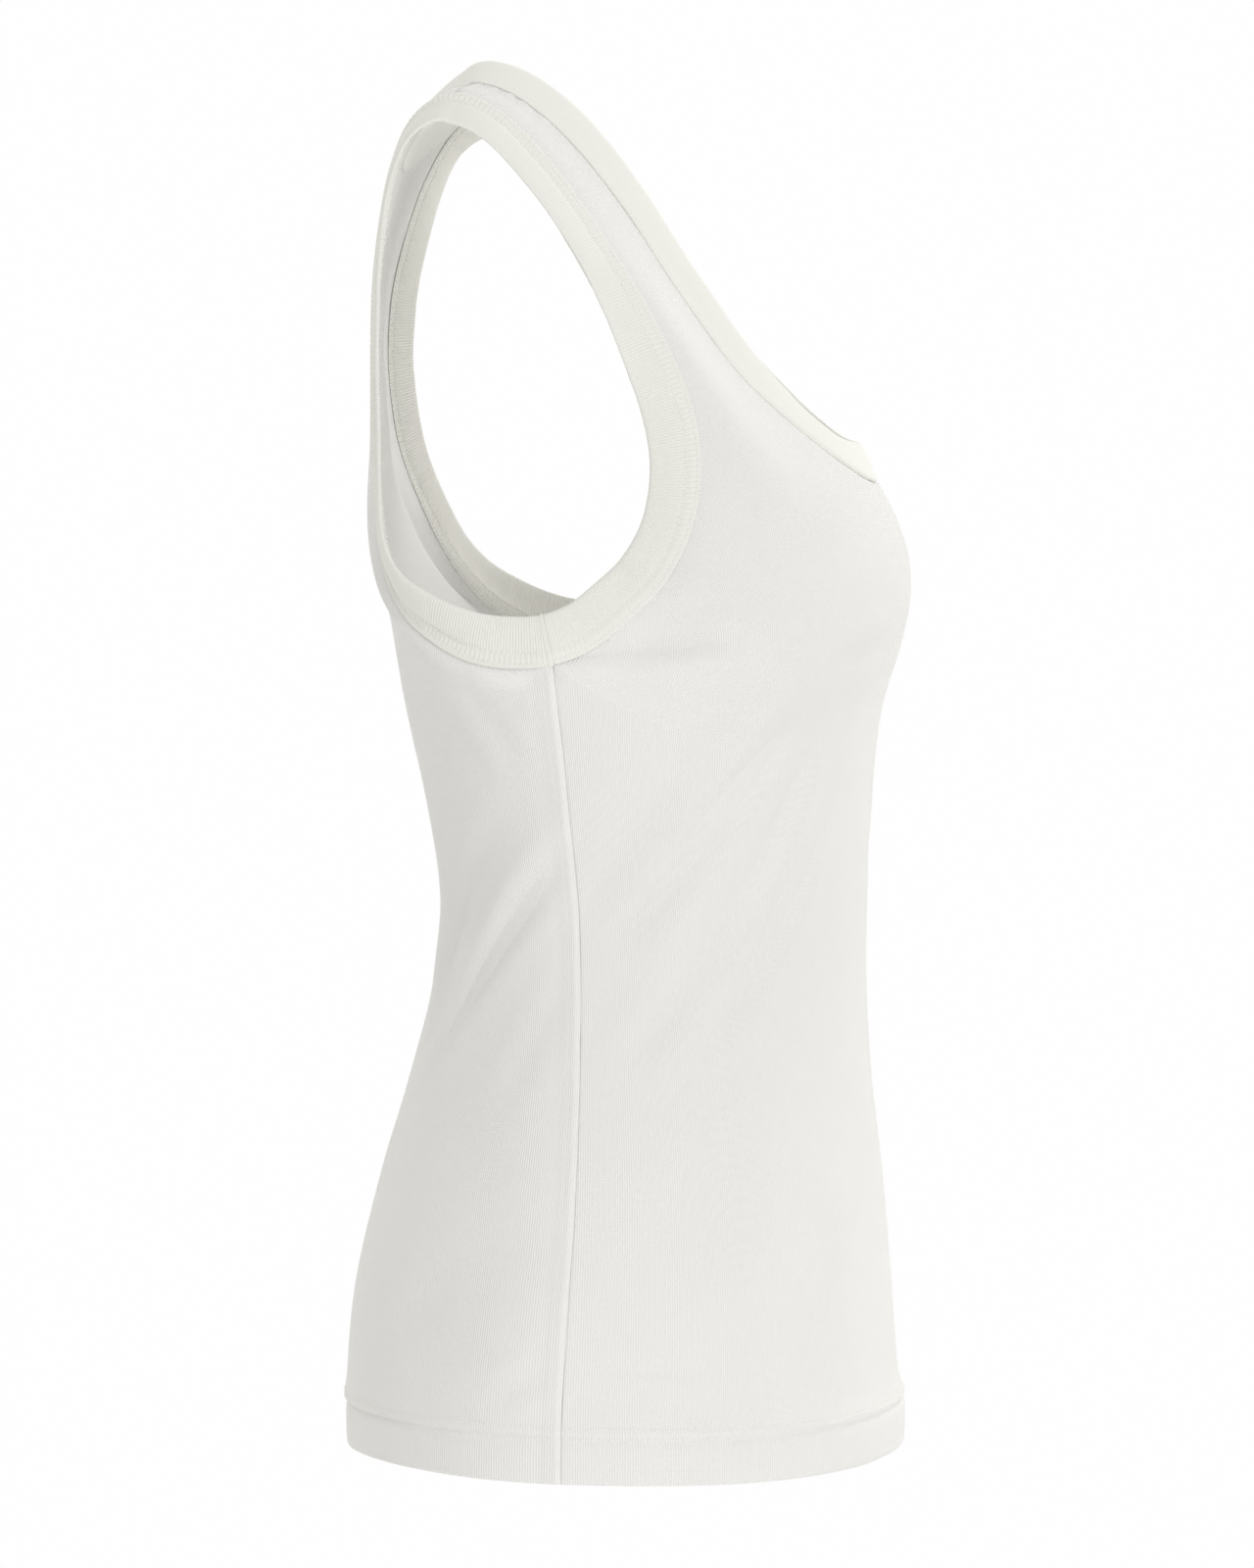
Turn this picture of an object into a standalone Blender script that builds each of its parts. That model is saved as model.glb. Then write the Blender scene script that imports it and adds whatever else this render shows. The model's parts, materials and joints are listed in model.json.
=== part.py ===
"""A fitted rib-knit tank top, standing open as it is worn, held up at the shoulders.

Every table below is in millimetres.  Heights are measured up from the hem, depths run
from front (negative) to back (positive) of the body's upright axis, and half widths run
out from the middle.  The finished parts are in metres, +Z up, with the front towards -Y
and the wearer's right towards -X.  Their origin is the middle of the shoulder line.
"""
import math

import bmesh
import bpy
from mathutils import Vector

MILLIMETRE = 0.001

# Driving dimensions, in millimetres.
SHOULDER_HEIGHT = 584.0      # underside of the straps above the hem
SHOULDER_DEPTH = 62.0        # shoulder line behind the body's axis
UNDERARM_HEIGHT = 342.0      # top of the side seams
NECK_FRONT_HEIGHT = 416.7    # neck seam at the centre of the front
NECK_BACK_HEIGHT = 551.0     # neck seam at the centre of the back
HEM_DEPTH = 20.0             # turned-up hem
BINDING_WIDTH = 21.0
NECK_BINDING_WIDTH = 19.0
CLOTH = 1.2                  # one layer of knit
HEM_CLOTH = 2.2              # the turned-up double layer
BINDING_CLOTH = 2.6          # folded binding
BINDING_PROUD = 0.7          # how far a binding stands above the panel beside it
SEAM_GAP = 0.35
STEP = 0.002                 # share of a panel used to find a seam's direction
WELD = 0.001                 # points nearer than this to the middle are joined across it

COLUMNS = 12                 # across half a panel
BODY_ROWS = 11               # from hem stitch line to underarm
CHEST_ROWS = 4               # underarm to neck seam, front
STRAP_ROWS = 18              # neck seam to shoulder, front
BLADE_ROWS = 13              # underarm to neck seam, back
YOKE_ROWS = 9                # neck seam to shoulder, back

# height, degrees that the top hangs turned on the body at that height
TURNS = (
    (0.0, 0.0), (120.0, 0.8), (230.0, 2.2), (330.0, 3.0), (385.0, 2.4), (440.0, 0.4),
    (490.0, -1.1), (550.0, -0.9), (640.0, -0.8),
)

# height, how far back the wearer's left side hangs for each step out from the middle, at
# the front and at the back
LEFT_SWAY = (
    (0.0, 0.0, 0.0), (350.0, 0.0, 0.0), (400.0, 0.050, 0.045), (435.0, 0.090, 0.112),
    (465.0, 0.100, 0.118), (490.0, 0.105, 0.085), (515.0, 0.110, 0.045), (545.0, 0.105, 0.0),
    (575.0, 0.090, -0.035), (640.0, 0.080, -0.035),
)
SWAY_STARTS = 15.0           # the sway sets in softly over this width
SWAY_DEPTHS = (20.0, 80.0)   # and changes from the front's to the back's between these

# share of the way along the back armhole seam from the underarm; degrees by which the
# binding rolls in over the opening, on the wearer's right and left
ARM_ROLLS = (
    (0.0, 0.0, 0.0), (0.14, -4.0, 0.0), (0.26, -13.0, 2.0), (0.40, -15.0, 7.0),
    (0.58, -12.0, 15.0), (0.72, -12.0, 14.0), (0.84, -9.0, 12.0), (0.94, -3.0, 6.0),
    (1.0, 0.0, 0.0),
)

# height, depth of the centre front
FRONT_PROFILE = (
    (0.0, -120.5), (17.0, -120.4), (30.0, -117.8), (72.0, -114.5), (115.0, -111.0),
    (158.0, -106.4), (200.0, -103.8), (242.0, -104.4), (285.0, -106.0), (315.0, -109.0),
    (328.0, -111.8), (345.0, -117.2), (358.0, -121.0), (370.0, -122.8), (384.0, -121.8),
    (396.0, -118.4), (405.0, -114.6), (416.7, -108.7),
)

# height, depth of the centre back
BACK_PROFILE = (
    (0.0, 121.0), (30.0, 121.0), (72.0, 117.0), (115.0, 107.0), (158.0, 94.0),
    (200.0, 83.0), (226.0, 79.5), (243.0, 80.0), (285.0, 86.5), (328.0, 95.5),
    (362.0, 99.8), (380.0, 101.8), (404.0, 103.4), (455.0, 106.2), (485.0, 107.4),
    (505.0, 107.0), (525.0, 104.2), (551.0, 98.3),
)

# height, half width, depth of the side seam
SIDE_PROFILE = (
    (0.0, 170.0, 16.0), (30.0, 168.0, 15.0), (72.0, 163.0, 12.0), (115.0, 154.0, 9.0),
    (158.0, 143.0, 7.0), (200.0, 133.0, 6.0), (226.0, 130.0, 6.0), (243.0, 130.0, 6.5),
    (285.0, 135.0, 9.0), (315.0, 142.0, 11.0), (342.0, 150.0, 13.0),
)

# half width, depth, height along the front armhole seam, underarm to shoulder
FRONT_ARMHOLE = (
    (150.0, 13.0, 342.0), (147.5, -3.0, 348.5), (143.5, -17.0, 360.0),
    (137.0, -30.6, 375.0), (129.5, -40.0, 397.0), (122.0, -41.3, 424.0),
    (115.0, -34.0, 452.0), (109.5, -17.9, 483.0), (103.5, 3.8, 518.0),
    (100.0, 24.6, 548.0), (97.5, 47.4, 572.0), (96.0, 68.3, 581.0),
)

# half width, depth, height along the back armhole seam, underarm to shoulder
BACK_ARMHOLE = (
    (150.0, 13.0, 342.0), (148.5, 29.0, 340.5), (144.5, 47.0, 342.5),
    (136.5, 64.0, 350.0), (123.0, 80.5, 363.0), (105.0, 92.3, 384.5),
    (86.0, 99.6, 414.0), (74.5, 103.6, 452.0), (72.0, 104.6, 495.0),
    (78.5, 100.8, 527.0), (86.5, 94.4, 553.0), (93.5, 84.2, 572.5), (96.0, 68.3, 581.0),
)

# half width, depth, height along the front neck seam, centre to shoulder
FRONT_NECK = (
    (0.0, -108.7, 416.7), (29.0, -104.0, 420.0), (48.0, -91.4, 429.3),
    (60.0, -71.8, 445.2), (67.5, -50.3, 466.0), (72.0, -25.6, 499.0),
    (75.0, -0.8, 537.0), (76.5, 22.1, 564.6), (77.5, 43.1, 581.7), (78.0, 60.0, 587.4),
)

# half width, depth, height along the back neck seam, centre to shoulder
BACK_NECK = (
    (0.0, 98.3, 551.0), (21.0, 97.6, 552.0), (40.0, 94.6, 556.5), (55.0, 89.5, 563.5),
    (65.5, 82.8, 571.5), (72.5, 75.5, 578.6), (76.5, 68.0, 584.0), (78.0, 60.0, 587.4),
)

# share of the way from underarm to shoulder; the bearing (degrees from straight across)
# and the climb of the cloth where it leaves the middle, and where it meets the armhole
FRONT_LEANS = (
    (0.0, 0.0, 0.0, 90.0, 0.85), (0.10, 0.0, 0.0, 88.0, 0.45),
    (0.22, -8.0, -0.25, 86.0, 0.15), (0.35, 6.0, -0.3, 82.0, 0.0),
    (0.50, 18.0, -0.25, 70.0, 0.0), (0.70, 24.0, -0.15, 46.0, -0.1),
    (0.88, 26.0, -0.4, 38.0, -0.5), (1.0, 24.0, -0.5, 26.0, -0.6),
)
BACK_LEANS = (
    (0.0, 0.0, 0.0, -90.0, 0.85), (0.12, 0.0, 0.0, -80.0, 0.40),
    (0.25, 0.0, 0.0, -50.0, 0.15), (0.40, 0.0, -0.05, -20.0, 0.0),
    (0.55, 2.0, -0.15, -11.0, 0.0), (0.66, 4.0, -0.30, -11.0, 0.0),
    (0.80, 8.0, -0.40, -10.0, -0.15), (0.90, 14.0, -0.45, 0.0, -0.40),
    (1.0, 24.0, -0.5, 26.0, -0.6),
)

# share of the way along the armhole seam from the underarm; which way its binding
# stands: out from the middle, back, and up
FRONT_ARM_STAND = (
    (0.0, 0.0, 0.0, 1.0), (0.10, -0.03, 0.66, 0.75), (0.22, 0.0, 0.90, 0.43),
    (0.30, 0.07, 0.98, 0.16), (0.40, 0.22, 0.95, -0.19), (0.50, 0.43, 0.83, -0.35),
    (0.60, 0.66, 0.67, -0.30), (0.70, 0.80, 0.52, -0.26), (0.88, 0.82, 0.41, -0.37),
    (1.0, 0.80, 0.20, -0.57),
)
BACK_ARM_STAND = (
    (0.0, 0.0, 0.0, 1.0), (0.10, 0.08, 0.10, 0.97), (0.20, 0.40, -0.10, 0.86),
    (0.30, 0.65, -0.20, 0.66), (0.40, 0.76, -0.33, 0.50), (0.50, 0.86, -0.38, 0.33),
    (0.60, 0.93, -0.34, 0.10), (0.70, 0.93, -0.33, -0.10), (0.85, 0.92, -0.15, -0.35),
    (1.0, 0.80, 0.20, -0.57),
)

# share of the way along the neck seam from the centre; which way its binding stands:
# out from the middle, back, and up
FRONT_NECK_STAND = (
    (0.0, 0.0, 0.42, 0.91), (0.10, -0.62, 0.30, 0.66), (0.23, -0.88, 0.0, 0.48),
    (0.36, -0.86, -0.32, 0.36), (0.50, -0.84, -0.44, 0.32), (0.64, -0.83, -0.46, 0.32),
    (0.85, -0.78, -0.36, 0.52), (1.0, -0.80, -0.24, 0.46),
)
BACK_NECK_STAND = (
    (0.0, 0.0, -0.20, 1.0), (0.25, -0.35, -0.20, 0.85), (0.50, -0.60, -0.22, 0.70),
    (0.75, -0.74, -0.24, 0.57), (1.0, -0.80, -0.24, 0.46),
)

# roundness of a level's quarter curve: 0.552 is an ellipse, more is squarer
FRONT_FULLNESS = ((0.0, 0.60), (200.0, 0.585), (320.0, 0.63), (370.0, 0.66), (420.0, 0.60))
BACK_FULLNESS = ((0.0, 0.575), (200.0, 0.56), (320.0, 0.57), (420.0, 0.60))

# Broad soft folds: bearing and height of each end (bearing in degrees round from the
# centre front towards the wearer's right), how deep, and how far each side it reaches.
FOLDS = (
    (30.0, 352.0, 62.0, 268.0, 2.2, 16.0),
    (62.0, 330.0, 96.0, 218.0, 1.8, 15.0),
    (66.0, 362.0, 84.0, 352.0, 2.4, 9.0),
    (118.0, 262.0, 146.0, 168.0, 2.6, 17.0),
    (100.0, 120.0, 128.0, 40.0, 2.0, 20.0),
    (40.0, 120.0, 66.0, 30.0, 1.8, 20.0),
    (-34.0, 350.0, -70.0, 256.0, 2.2, 17.0),
    (-64.0, 322.0, -100.0, 226.0, 1.6, 15.0),
    (-68.0, 360.0, -86.0, 350.0, 2.2, 9.0),
    (-122.0, 256.0, -150.0, 176.0, 2.4, 18.0),
    (-104.0, 112.0, -132.0, 36.0, 2.0, 20.0),
    (-44.0, 116.0, -70.0, 34.0, 1.7, 20.0),
)
MEAN_RADIUS = 128.0          # turns a fold's bearing into a distance round the body

# bearing of a place on the hem, as for the folds, and how far it hangs below the level
HEM_DROPS = (
    (-180.0, 0.0), (-130.0, -1.2), (-95.0, 0.4), (-60.0, 1.6), (0.0, 0.3), (62.0, 2.2),
    (92.0, 0.6), (128.0, -2.2), (180.0, 0.0),
)
HEM_DROP_REACH = 90.0        # the uneven hang dies out this far above the hem

CLOTH_COLOUR = (0.79, 0.785, 0.765, 1.0)
BINDING_COLOUR = (0.78, 0.775, 0.75, 1.0)


def blend_between(a, b, share):
    return a + (b - a) * share


def smooth_step(share):
    share = min(max(share, 0.0), 1.0)
    return share * share * (3.0 - 2.0 * share)


def read_table(table, at):
    """Smoothly interpolate every column of a table whose first column rises."""
    last = len(table) - 1
    at = min(max(at, table[0][0]), table[last][0])
    row = 0
    while row < last - 1 and at > table[row + 1][0]:
        row += 1
    start, end = table[row], table[row + 1]
    before, after = table[max(row - 1, 0)], table[min(row + 2, last)]
    span = end[0] - start[0]
    t = (at - start[0]) / span
    values = []
    for column in range(1, len(start)):
        slope_in = (end[column] - before[column]) / (end[0] - before[0]) * span
        slope_out = (after[column] - start[column]) / (after[0] - start[0]) * span
        values.append(
            start[column] * (1 + 2 * t) * (1 - t) ** 2
            + slope_in * t * (1 - t) ** 2
            + end[column] * t * t * (3 - 2 * t)
            + slope_out * t * t * (t - 1)
        )
    return values


class Route:
    """A smooth curve through (half width, depth, height) stations, by share of length.

    It starts and ends running on smoothly towards the neighbouring stations given.
    """

    def __init__(self, neighbour_before, stations, neighbour_after):
        keys = [Vector(key) for key in (neighbour_before, *stations, neighbour_after)]
        lengths = [0.0]
        for one, two in zip(keys, keys[1:]):
            lengths.append(lengths[-1] + (two - one).length)
        self.start = lengths[1]
        self.length = lengths[-2] - lengths[1]
        self.table = [(at, *key) for at, key in zip(lengths, keys)]

    def point(self, share):
        return Vector(read_table(self.table, self.start + share * self.length))


def across_the_middle(station):
    """The same station on the wearer's other side."""
    half_width, depth, height = station
    return -half_width, depth, height


class Panel:
    """The right half of the front or the back, as points of across and up.

    across runs from 0 at the middle to 1 at the side seam or armhole; up runs from
    0 at the hem to 1 at the underarm and 2 at the shoulder.
    """

    def __init__(self, profile, neck_height, neck, neck_stand, neck_beyond, armhole,
                 arm_stand, arm_beyond, leans, fullness):
        self.profile = profile
        self.neck_stand = neck_stand
        self.arm_stand = arm_stand
        self.fullness = fullness
        self.leans = leans
        self.neck_height = neck_height
        self.neck = Route(across_the_middle(neck[1]), neck, neck_beyond[-2])
        self.armhole = Route(arm_beyond[1], armhole, arm_beyond[-2])
        self.chest = neck_height - UNDERARM_HEIGHT
        self.corner = self.chest / (self.chest + self.neck.length)

    def inner(self, up):
        """Middle line up to the neck seam, then along the neck seam."""
        if up <= 1.0:
            height = up * UNDERARM_HEIGHT
            return Vector((0.0, read_table(self.profile, height)[0], height))
        share = up - 1.0
        if share <= self.corner:
            height = UNDERARM_HEIGHT + self.chest * share / self.corner
            return Vector((0.0, read_table(self.profile, height)[0], height))
        return self.neck.point((share - self.corner) / (1.0 - self.corner))

    def outer(self, up):
        """Side seam up to the underarm, then along the armhole seam."""
        if up <= 1.0:
            height = up * UNDERARM_HEIGHT
            half_width, depth = read_table(SIDE_PROFILE, height)
            return Vector((half_width, depth, height))
        return self.armhole.point(up - 1.0)

    def directions(self, up):
        """Which way the cloth runs at the middle and at the side of a level."""
        share = max(up - 1.0, 0.0)
        bearing_in, climb_in, bearing_out, climb_out = read_table(self.leans, share)
        rising = side_rise(min(up, 1.0) * UNDERARM_HEIGHT)
        if up < 1.0:
            climb_out *= smooth_step((up - 0.45) / 0.55)
        upright = Vector((0.0, 0.0, 1.0))
        rising = upright.lerp(rising, smooth_step(1.0 - share / 0.2))
        leaving = Vector((math.cos(math.radians(bearing_in)),
                          math.sin(math.radians(bearing_in)), climb_in))
        meeting = Vector((math.cos(math.radians(bearing_out)),
                          math.sin(math.radians(bearing_out)), 0.0)) + rising * climb_out
        return leaving, meeting, abs(bearing_out - bearing_in)

    def point(self, across, up):
        start, end = self.inner(up), self.outer(up)
        leaving, meeting, turning = self.directions(up)
        chord = (end - start).length
        roundness = math.sin(math.radians(min(turning, 90.0))) ** 2
        full = read_table(self.fullness, (start.z + end.z) / 2)[0]
        reach_in = blend_between(chord / 3, full * abs(end.x - start.x), roundness)
        reach_out = blend_between(chord / 3, full * abs(end.y - start.y), roundness)
        one = start + leaving * reach_in
        two = end - meeting * reach_out
        rest = 1.0 - across
        return (start * rest ** 3 + one * 3 * rest ** 2 * across
                + two * 3 * rest * across ** 2 + end * across ** 3)


def side_rise(height):
    """How the side seam leaves the upright, for each step up."""
    below, above = (read_table(SIDE_PROFILE, height + way) for way in (-2.0, 2.0))
    rise = min(height + 2.0, UNDERARM_HEIGHT) - max(height - 2.0, 0.0)
    return Vector(((above[0] - below[0]) / rise, (above[1] - below[1]) / rise, 1.0))


def bearing_of(point):
    """Degrees round from the centre front towards the wearer's right."""
    return math.degrees(math.atan2(-point.x, -point.y))


def fold_offset(point):
    """How far the broad folds push a point of the cloth in (negative) or out."""
    bearing = bearing_of(point)
    offset = 0.0
    for bearing_1, height_1, bearing_2, height_2, deep, reach in FOLDS:
        along = Vector((math.radians(bearing_2 - bearing_1) * MEAN_RADIUS, height_2 - height_1))
        turned = (bearing - bearing_1 + 180.0) % 360.0 - 180.0
        here = Vector((math.radians(turned) * MEAN_RADIUS, point.z - height_1))
        share = here.dot(along) / along.length_squared
        away = (here - along * share).length
        fade = smooth_step(share / 0.3) * smooth_step((1.0 - share) / 0.3)
        offset -= deep * fade * math.exp(-(away / reach) ** 2)
        offset += 0.6 * deep * fade * math.exp(-((away - 1.8 * reach) / reach) ** 2)
    return offset


def place(point):
    """Fold and turn a worn point, then move it into the part's frame, in metres."""
    radial = Vector((point.x, point.y, 0.0)).normalized()
    point = point + radial * fold_offset(point)
    drop = read_table(HEM_DROPS, bearing_of(point))[0]
    point.z -= drop * smooth_step(1.0 - point.z / HEM_DROP_REACH)
    left = max(point.x, 0.0)
    first, last = SWAY_DEPTHS
    depth = smooth_step((point.y - first) / (last - first))
    sway = blend_between(*read_table(LEFT_SWAY, point.z), depth)
    point.y += sway * left * left / (left + SWAY_STARTS)
    angle = -math.radians(read_table(TURNS, point.z)[0])
    x = point.x * math.cos(angle) - point.y * math.sin(angle)
    y = point.x * math.sin(angle) + point.y * math.cos(angle)
    moved = Vector((x, y - SHOULDER_DEPTH, point.z - SHOULDER_HEIGHT))
    return moved * MILLIMETRE


FRONT = Panel(FRONT_PROFILE, NECK_FRONT_HEIGHT, FRONT_NECK, FRONT_NECK_STAND, BACK_NECK,
              FRONT_ARMHOLE, FRONT_ARM_STAND, BACK_ARMHOLE, FRONT_LEANS, FRONT_FULLNESS)
BACK = Panel(BACK_PROFILE, NECK_BACK_HEIGHT, BACK_NECK, BACK_NECK_STAND, FRONT_NECK,
             BACK_ARMHOLE, BACK_ARM_STAND, FRONT_ARMHOLE, BACK_LEANS, BACK_FULLNESS)


def clear_scene():
    for item in list(bpy.data.objects):
        bpy.data.objects.remove(item, do_unlink=True)


def knit_material(name, colour):
    material = bpy.data.materials.new(name)
    material.use_nodes = True
    shader = material.node_tree.nodes["Principled BSDF"]
    shader.inputs["Base Color"].default_value = colour
    shader.inputs["Roughness"].default_value = 0.9
    shader.inputs["Metallic"].default_value = 0.0
    return material


def levels(panel, lower_rows, upper_rows):
    """The up values of a panel's rows: hem, body, middle line, then strap."""
    hem = HEM_DEPTH / UNDERARM_HEIGHT
    step = 1.0 / UNDERARM_HEIGHT
    rows = [0.0, hem, hem + step]
    for row in range(1, BODY_ROWS + 1):
        rows.append(blend_between(hem + step, 1.0, row / BODY_ROWS))
    for row in range(1, lower_rows + 1):
        rows.append(1.0 + panel.corner * row / lower_rows)
    for row in range(1, upper_rows + 1):
        rows.append(blend_between(1.0 + panel.corner, 2.0, row / upper_rows))
    return rows


def build_panel(name, panel, rows, seam_way, material):
    """Bend a flat grid into half a panel, mirror it, and give it the cloth's thickness."""
    mesh = bmesh.new()
    bmesh.ops.create_grid(mesh, x_segments=COLUMNS, y_segments=len(rows) - 1, size=0.5)
    thick = mesh.verts.layers.float.new("thickness")
    seam = mesh.verts.layers.int.new("seam")
    for vertex in mesh.verts:
        across = vertex.co.x + 0.5
        row = round((vertex.co.y + 0.5) * (len(rows) - 1))
        up = rows[row]
        vertex.co = panel.point(across, up)
        vertex[thick] = HEM_CLOTH if vertex.co.z <= HEM_DEPTH + 0.01 else CLOTH
        if row == len(rows) - 1 or (across > 0.999 and up <= 1.0):
            vertex[seam] = 1
            vertex.co.y += seam_way * SEAM_GAP / 2
    bmesh.ops.mirror(mesh, geom=mesh.verts[:] + mesh.edges[:] + mesh.faces[:], axis="X",
                     merge_dist=WELD)
    bmesh.ops.recalc_face_normals(mesh, faces=mesh.faces[:])
    if sum(face.normal.y for face in mesh.faces) * seam_way < 0.0:
        bmesh.ops.reverse_faces(mesh, faces=mesh.faces[:])
    mesh.normal_update()
    inwards = {vertex: -vertex.normal.copy() for vertex in mesh.verts}
    for vertex in mesh.verts:
        if vertex[seam]:
            inwards[vertex] = -seam_normal(panel, vertex.co)
    give_thickness(mesh, inwards, thick)
    for vertex in mesh.verts:
        vertex.co = place(vertex.co)
    return finish_object(name, mesh, material)


def seam_normal(panel, point):
    """The outward normal that front and back share along a side or shoulder seam."""
    way = math.copysign(1.0, point.x)
    if point.z <= UNDERARM_HEIGHT + 1.0:
        rise = side_rise(point.z)
        normal = Vector((0.0, 1.0, 0.0)).cross(rise)
    else:
        leaving, meeting, _ = panel.directions(2.0)
        share = (abs(point.x) - panel.inner(2.0).x) / (panel.outer(2.0).x - panel.inner(2.0).x)
        over = panel.outer(2.0 - STEP) - panel.outer(2.0)
        normal = leaving.lerp(meeting, share).cross(over)
        if normal.z < 0.0:
            normal = -normal
    return Vector((normal.x * way, normal.y, normal.z)).normalized()


def give_thickness(mesh, inwards, thick):
    """Add an inner layer behind every outer point and close the edges between them."""
    copied = bmesh.ops.duplicate(mesh, geom=mesh.verts[:] + mesh.edges[:] + mesh.faces[:])
    pairs = copied["vert_map"]
    for vertex, direction in inwards.items():
        pairs[vertex].co = vertex.co + direction * vertex[thick]
    inner_faces = [item for item in copied["geom"] if isinstance(item, bmesh.types.BMFace)]
    bmesh.ops.reverse_faces(mesh, faces=inner_faces)
    rims = [edge for edge in mesh.edges if edge.is_boundary]
    bmesh.ops.bridge_loops(mesh, edges=rims)
    bmesh.ops.recalc_face_normals(mesh, faces=mesh.faces[:])


def finish_object(name, mesh, material):
    bmesh.ops.triangulate(mesh, faces=mesh.faces[:])
    data = bpy.data.meshes.new(name)
    mesh.to_mesh(data)
    mesh.free()
    data.shade_smooth()
    data.set_sharp_from_angle(angle=math.radians(50.0))
    data.materials.append(material)
    item = bpy.data.objects.new(name, data)
    bpy.context.collection.objects.link(item)
    return item


def armhole_station(panel, up, side):
    """Seam point, and the frames of panel and binding there, at a level of a panel."""
    here = panel.point(1.0, up)
    along = (panel.point(1.0, min(up + STEP, 2.0)) - panel.point(1.0, max(up - STEP, 1.0)))
    leaving = here - panel.point(1.0 - STEP, up)
    stand = Vector(read_table(panel.arm_stand, up - 1.0))
    strip_frame = band_frame(here, along, stand)
    if panel is BACK:
        strip_frame = rolled(strip_frame, read_table(ARM_ROLLS, up - 1.0)[side])
    return here, band_frame(here, along, leaving), strip_frame


def rolled(frame, degrees):
    """A binding's frame, turned about its seam so that its edge rolls into the body."""
    inwards, outward = frame
    turn = math.radians(degrees)
    return (inwards * math.cos(turn) - outward * math.sin(turn),
            outward * math.cos(turn) + inwards * math.sin(turn))


def neck_station(panel, up):
    """Seam point, and the frames of panel and binding there, at a level of a panel."""
    here = panel.point(0.0, up)
    lowest = 1.0 + panel.corner
    along = panel.point(0.0, min(up + STEP, 2.0)) - panel.point(0.0, max(up - STEP, lowest))
    share = (up - lowest) / (2.0 - lowest)
    if share < 1e-6:
        along = Vector((1.0, 0.0, 0.0))
    leaving = here - panel.point(STEP, up)
    stand = Vector(read_table(panel.neck_stand, share))
    return here, band_frame(here, along, leaving), band_frame(here, along, stand)


def band_frame(here, along, inwards):
    """Two directions at a seam: across the seam into the opening, and off the body."""
    along = along.normalized()
    inwards = (inwards - along * inwards.dot(along)).normalized()
    outward = along.cross(inwards).normalized()
    axis = Vector((0.0, 0.0, here.z))
    if outward.dot(here - axis) < 0.0:
        outward = -outward
    return inwards, outward


def band_section(width):
    """A folded strip in section: distance from the seam, height off the panel.

    The first two points, at the seam, follow the panel; the rest stand as the strip does.
    """
    top = BINDING_PROUD
    low = BINDING_PROUD - BINDING_CLOTH
    middle = (top + low) / 2
    return (
        (SEAM_GAP + 0.3, low + 0.2), (SEAM_GAP, top - 0.2), (width * 0.45, top),
        (width - 1.0, top - 0.3), (width, middle), (width - 1.0, low + 0.3),
        (width * 0.45, low),
    )


def build_band(name, stations, width, material, mirrored):
    """Sweep the strip's section round a closed run of stations."""
    section = band_section(width)
    mesh = bmesh.new()
    rings = []
    for here, panel_frame, strip_frame in stations:
        ring = []
        for corner, (reach, lift) in enumerate(section):
            inwards, outward = panel_frame if corner < 2 else strip_frame
            point = here + inwards * reach + outward * lift
            if mirrored:
                point.x = -point.x
            ring.append(mesh.verts.new(place(point)))
        rings.append(ring)
    for one, two in zip(rings, rings[1:] + rings[:1]):
        for corner in range(len(section)):
            following = (corner + 1) % len(section)
            mesh.faces.new((one[corner], one[following], two[following], two[corner]))
    bmesh.ops.recalc_face_normals(mesh, faces=mesh.faces[:])
    return finish_object(name, mesh, material)


def mirrored_station(station):
    """The same station on the wearer's other side."""
    here, *frames = station
    flip = Vector((-1.0, 1.0, 1.0))
    return (here * flip, *((inwards * flip, outward * flip) for inwards, outward in frames))


def build_top():
    clear_scene()
    cloth = knit_material("rib_knit", CLOTH_COLOUR)
    trim = knit_material("binding_knit", BINDING_COLOUR)
    front_rows = levels(FRONT, CHEST_ROWS, STRAP_ROWS)
    back_rows = levels(BACK, BLADE_ROWS, YOKE_ROWS)
    build_panel("front_panel", FRONT, front_rows, -1.0, cloth)
    build_panel("back_panel", BACK, back_rows, 1.0, cloth)

    for side, name in enumerate(("right", "left")):
        front_arm = [armhole_station(FRONT, up, side) for up in front_rows if up >= 1.0]
        back_arm = [armhole_station(BACK, up, side) for up in back_rows if up >= 1.0]
        build_band(f"armhole_binding_{name}", front_arm + back_arm[-2:0:-1], BINDING_WIDTH,
                   trim, name == "right")

    front_neck = [neck_station(FRONT, up) for up in front_rows if up >= 1.0 + FRONT.corner - 1e-9]
    back_neck = [neck_station(BACK, up) for up in back_rows if up >= 1.0 + BACK.corner - 1e-9]
    half = front_neck + back_neck[-2::-1]
    other = [mirrored_station(station) for station in half[-2:0:-1]]
    build_band("neck_binding", half + other, NECK_BINDING_WIDTH, trim, False)


build_top()
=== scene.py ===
"""Looks of a fitted rib-knit tank top, standing open as it is worn.

The cut of the top is given by tables in millimetres: heights above the hem, depths from
front (negative) to back (positive) of the body's axis, and half widths from the middle.
Each piece of cloth is a fine shell bent to that cut, with its folds, seams and sewing.
"""

import json
import math

import bmesh
import bpy
from bpy.props import FloatProperty, FloatVectorProperty, PointerProperty
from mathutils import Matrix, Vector, kdtree, noise

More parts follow.
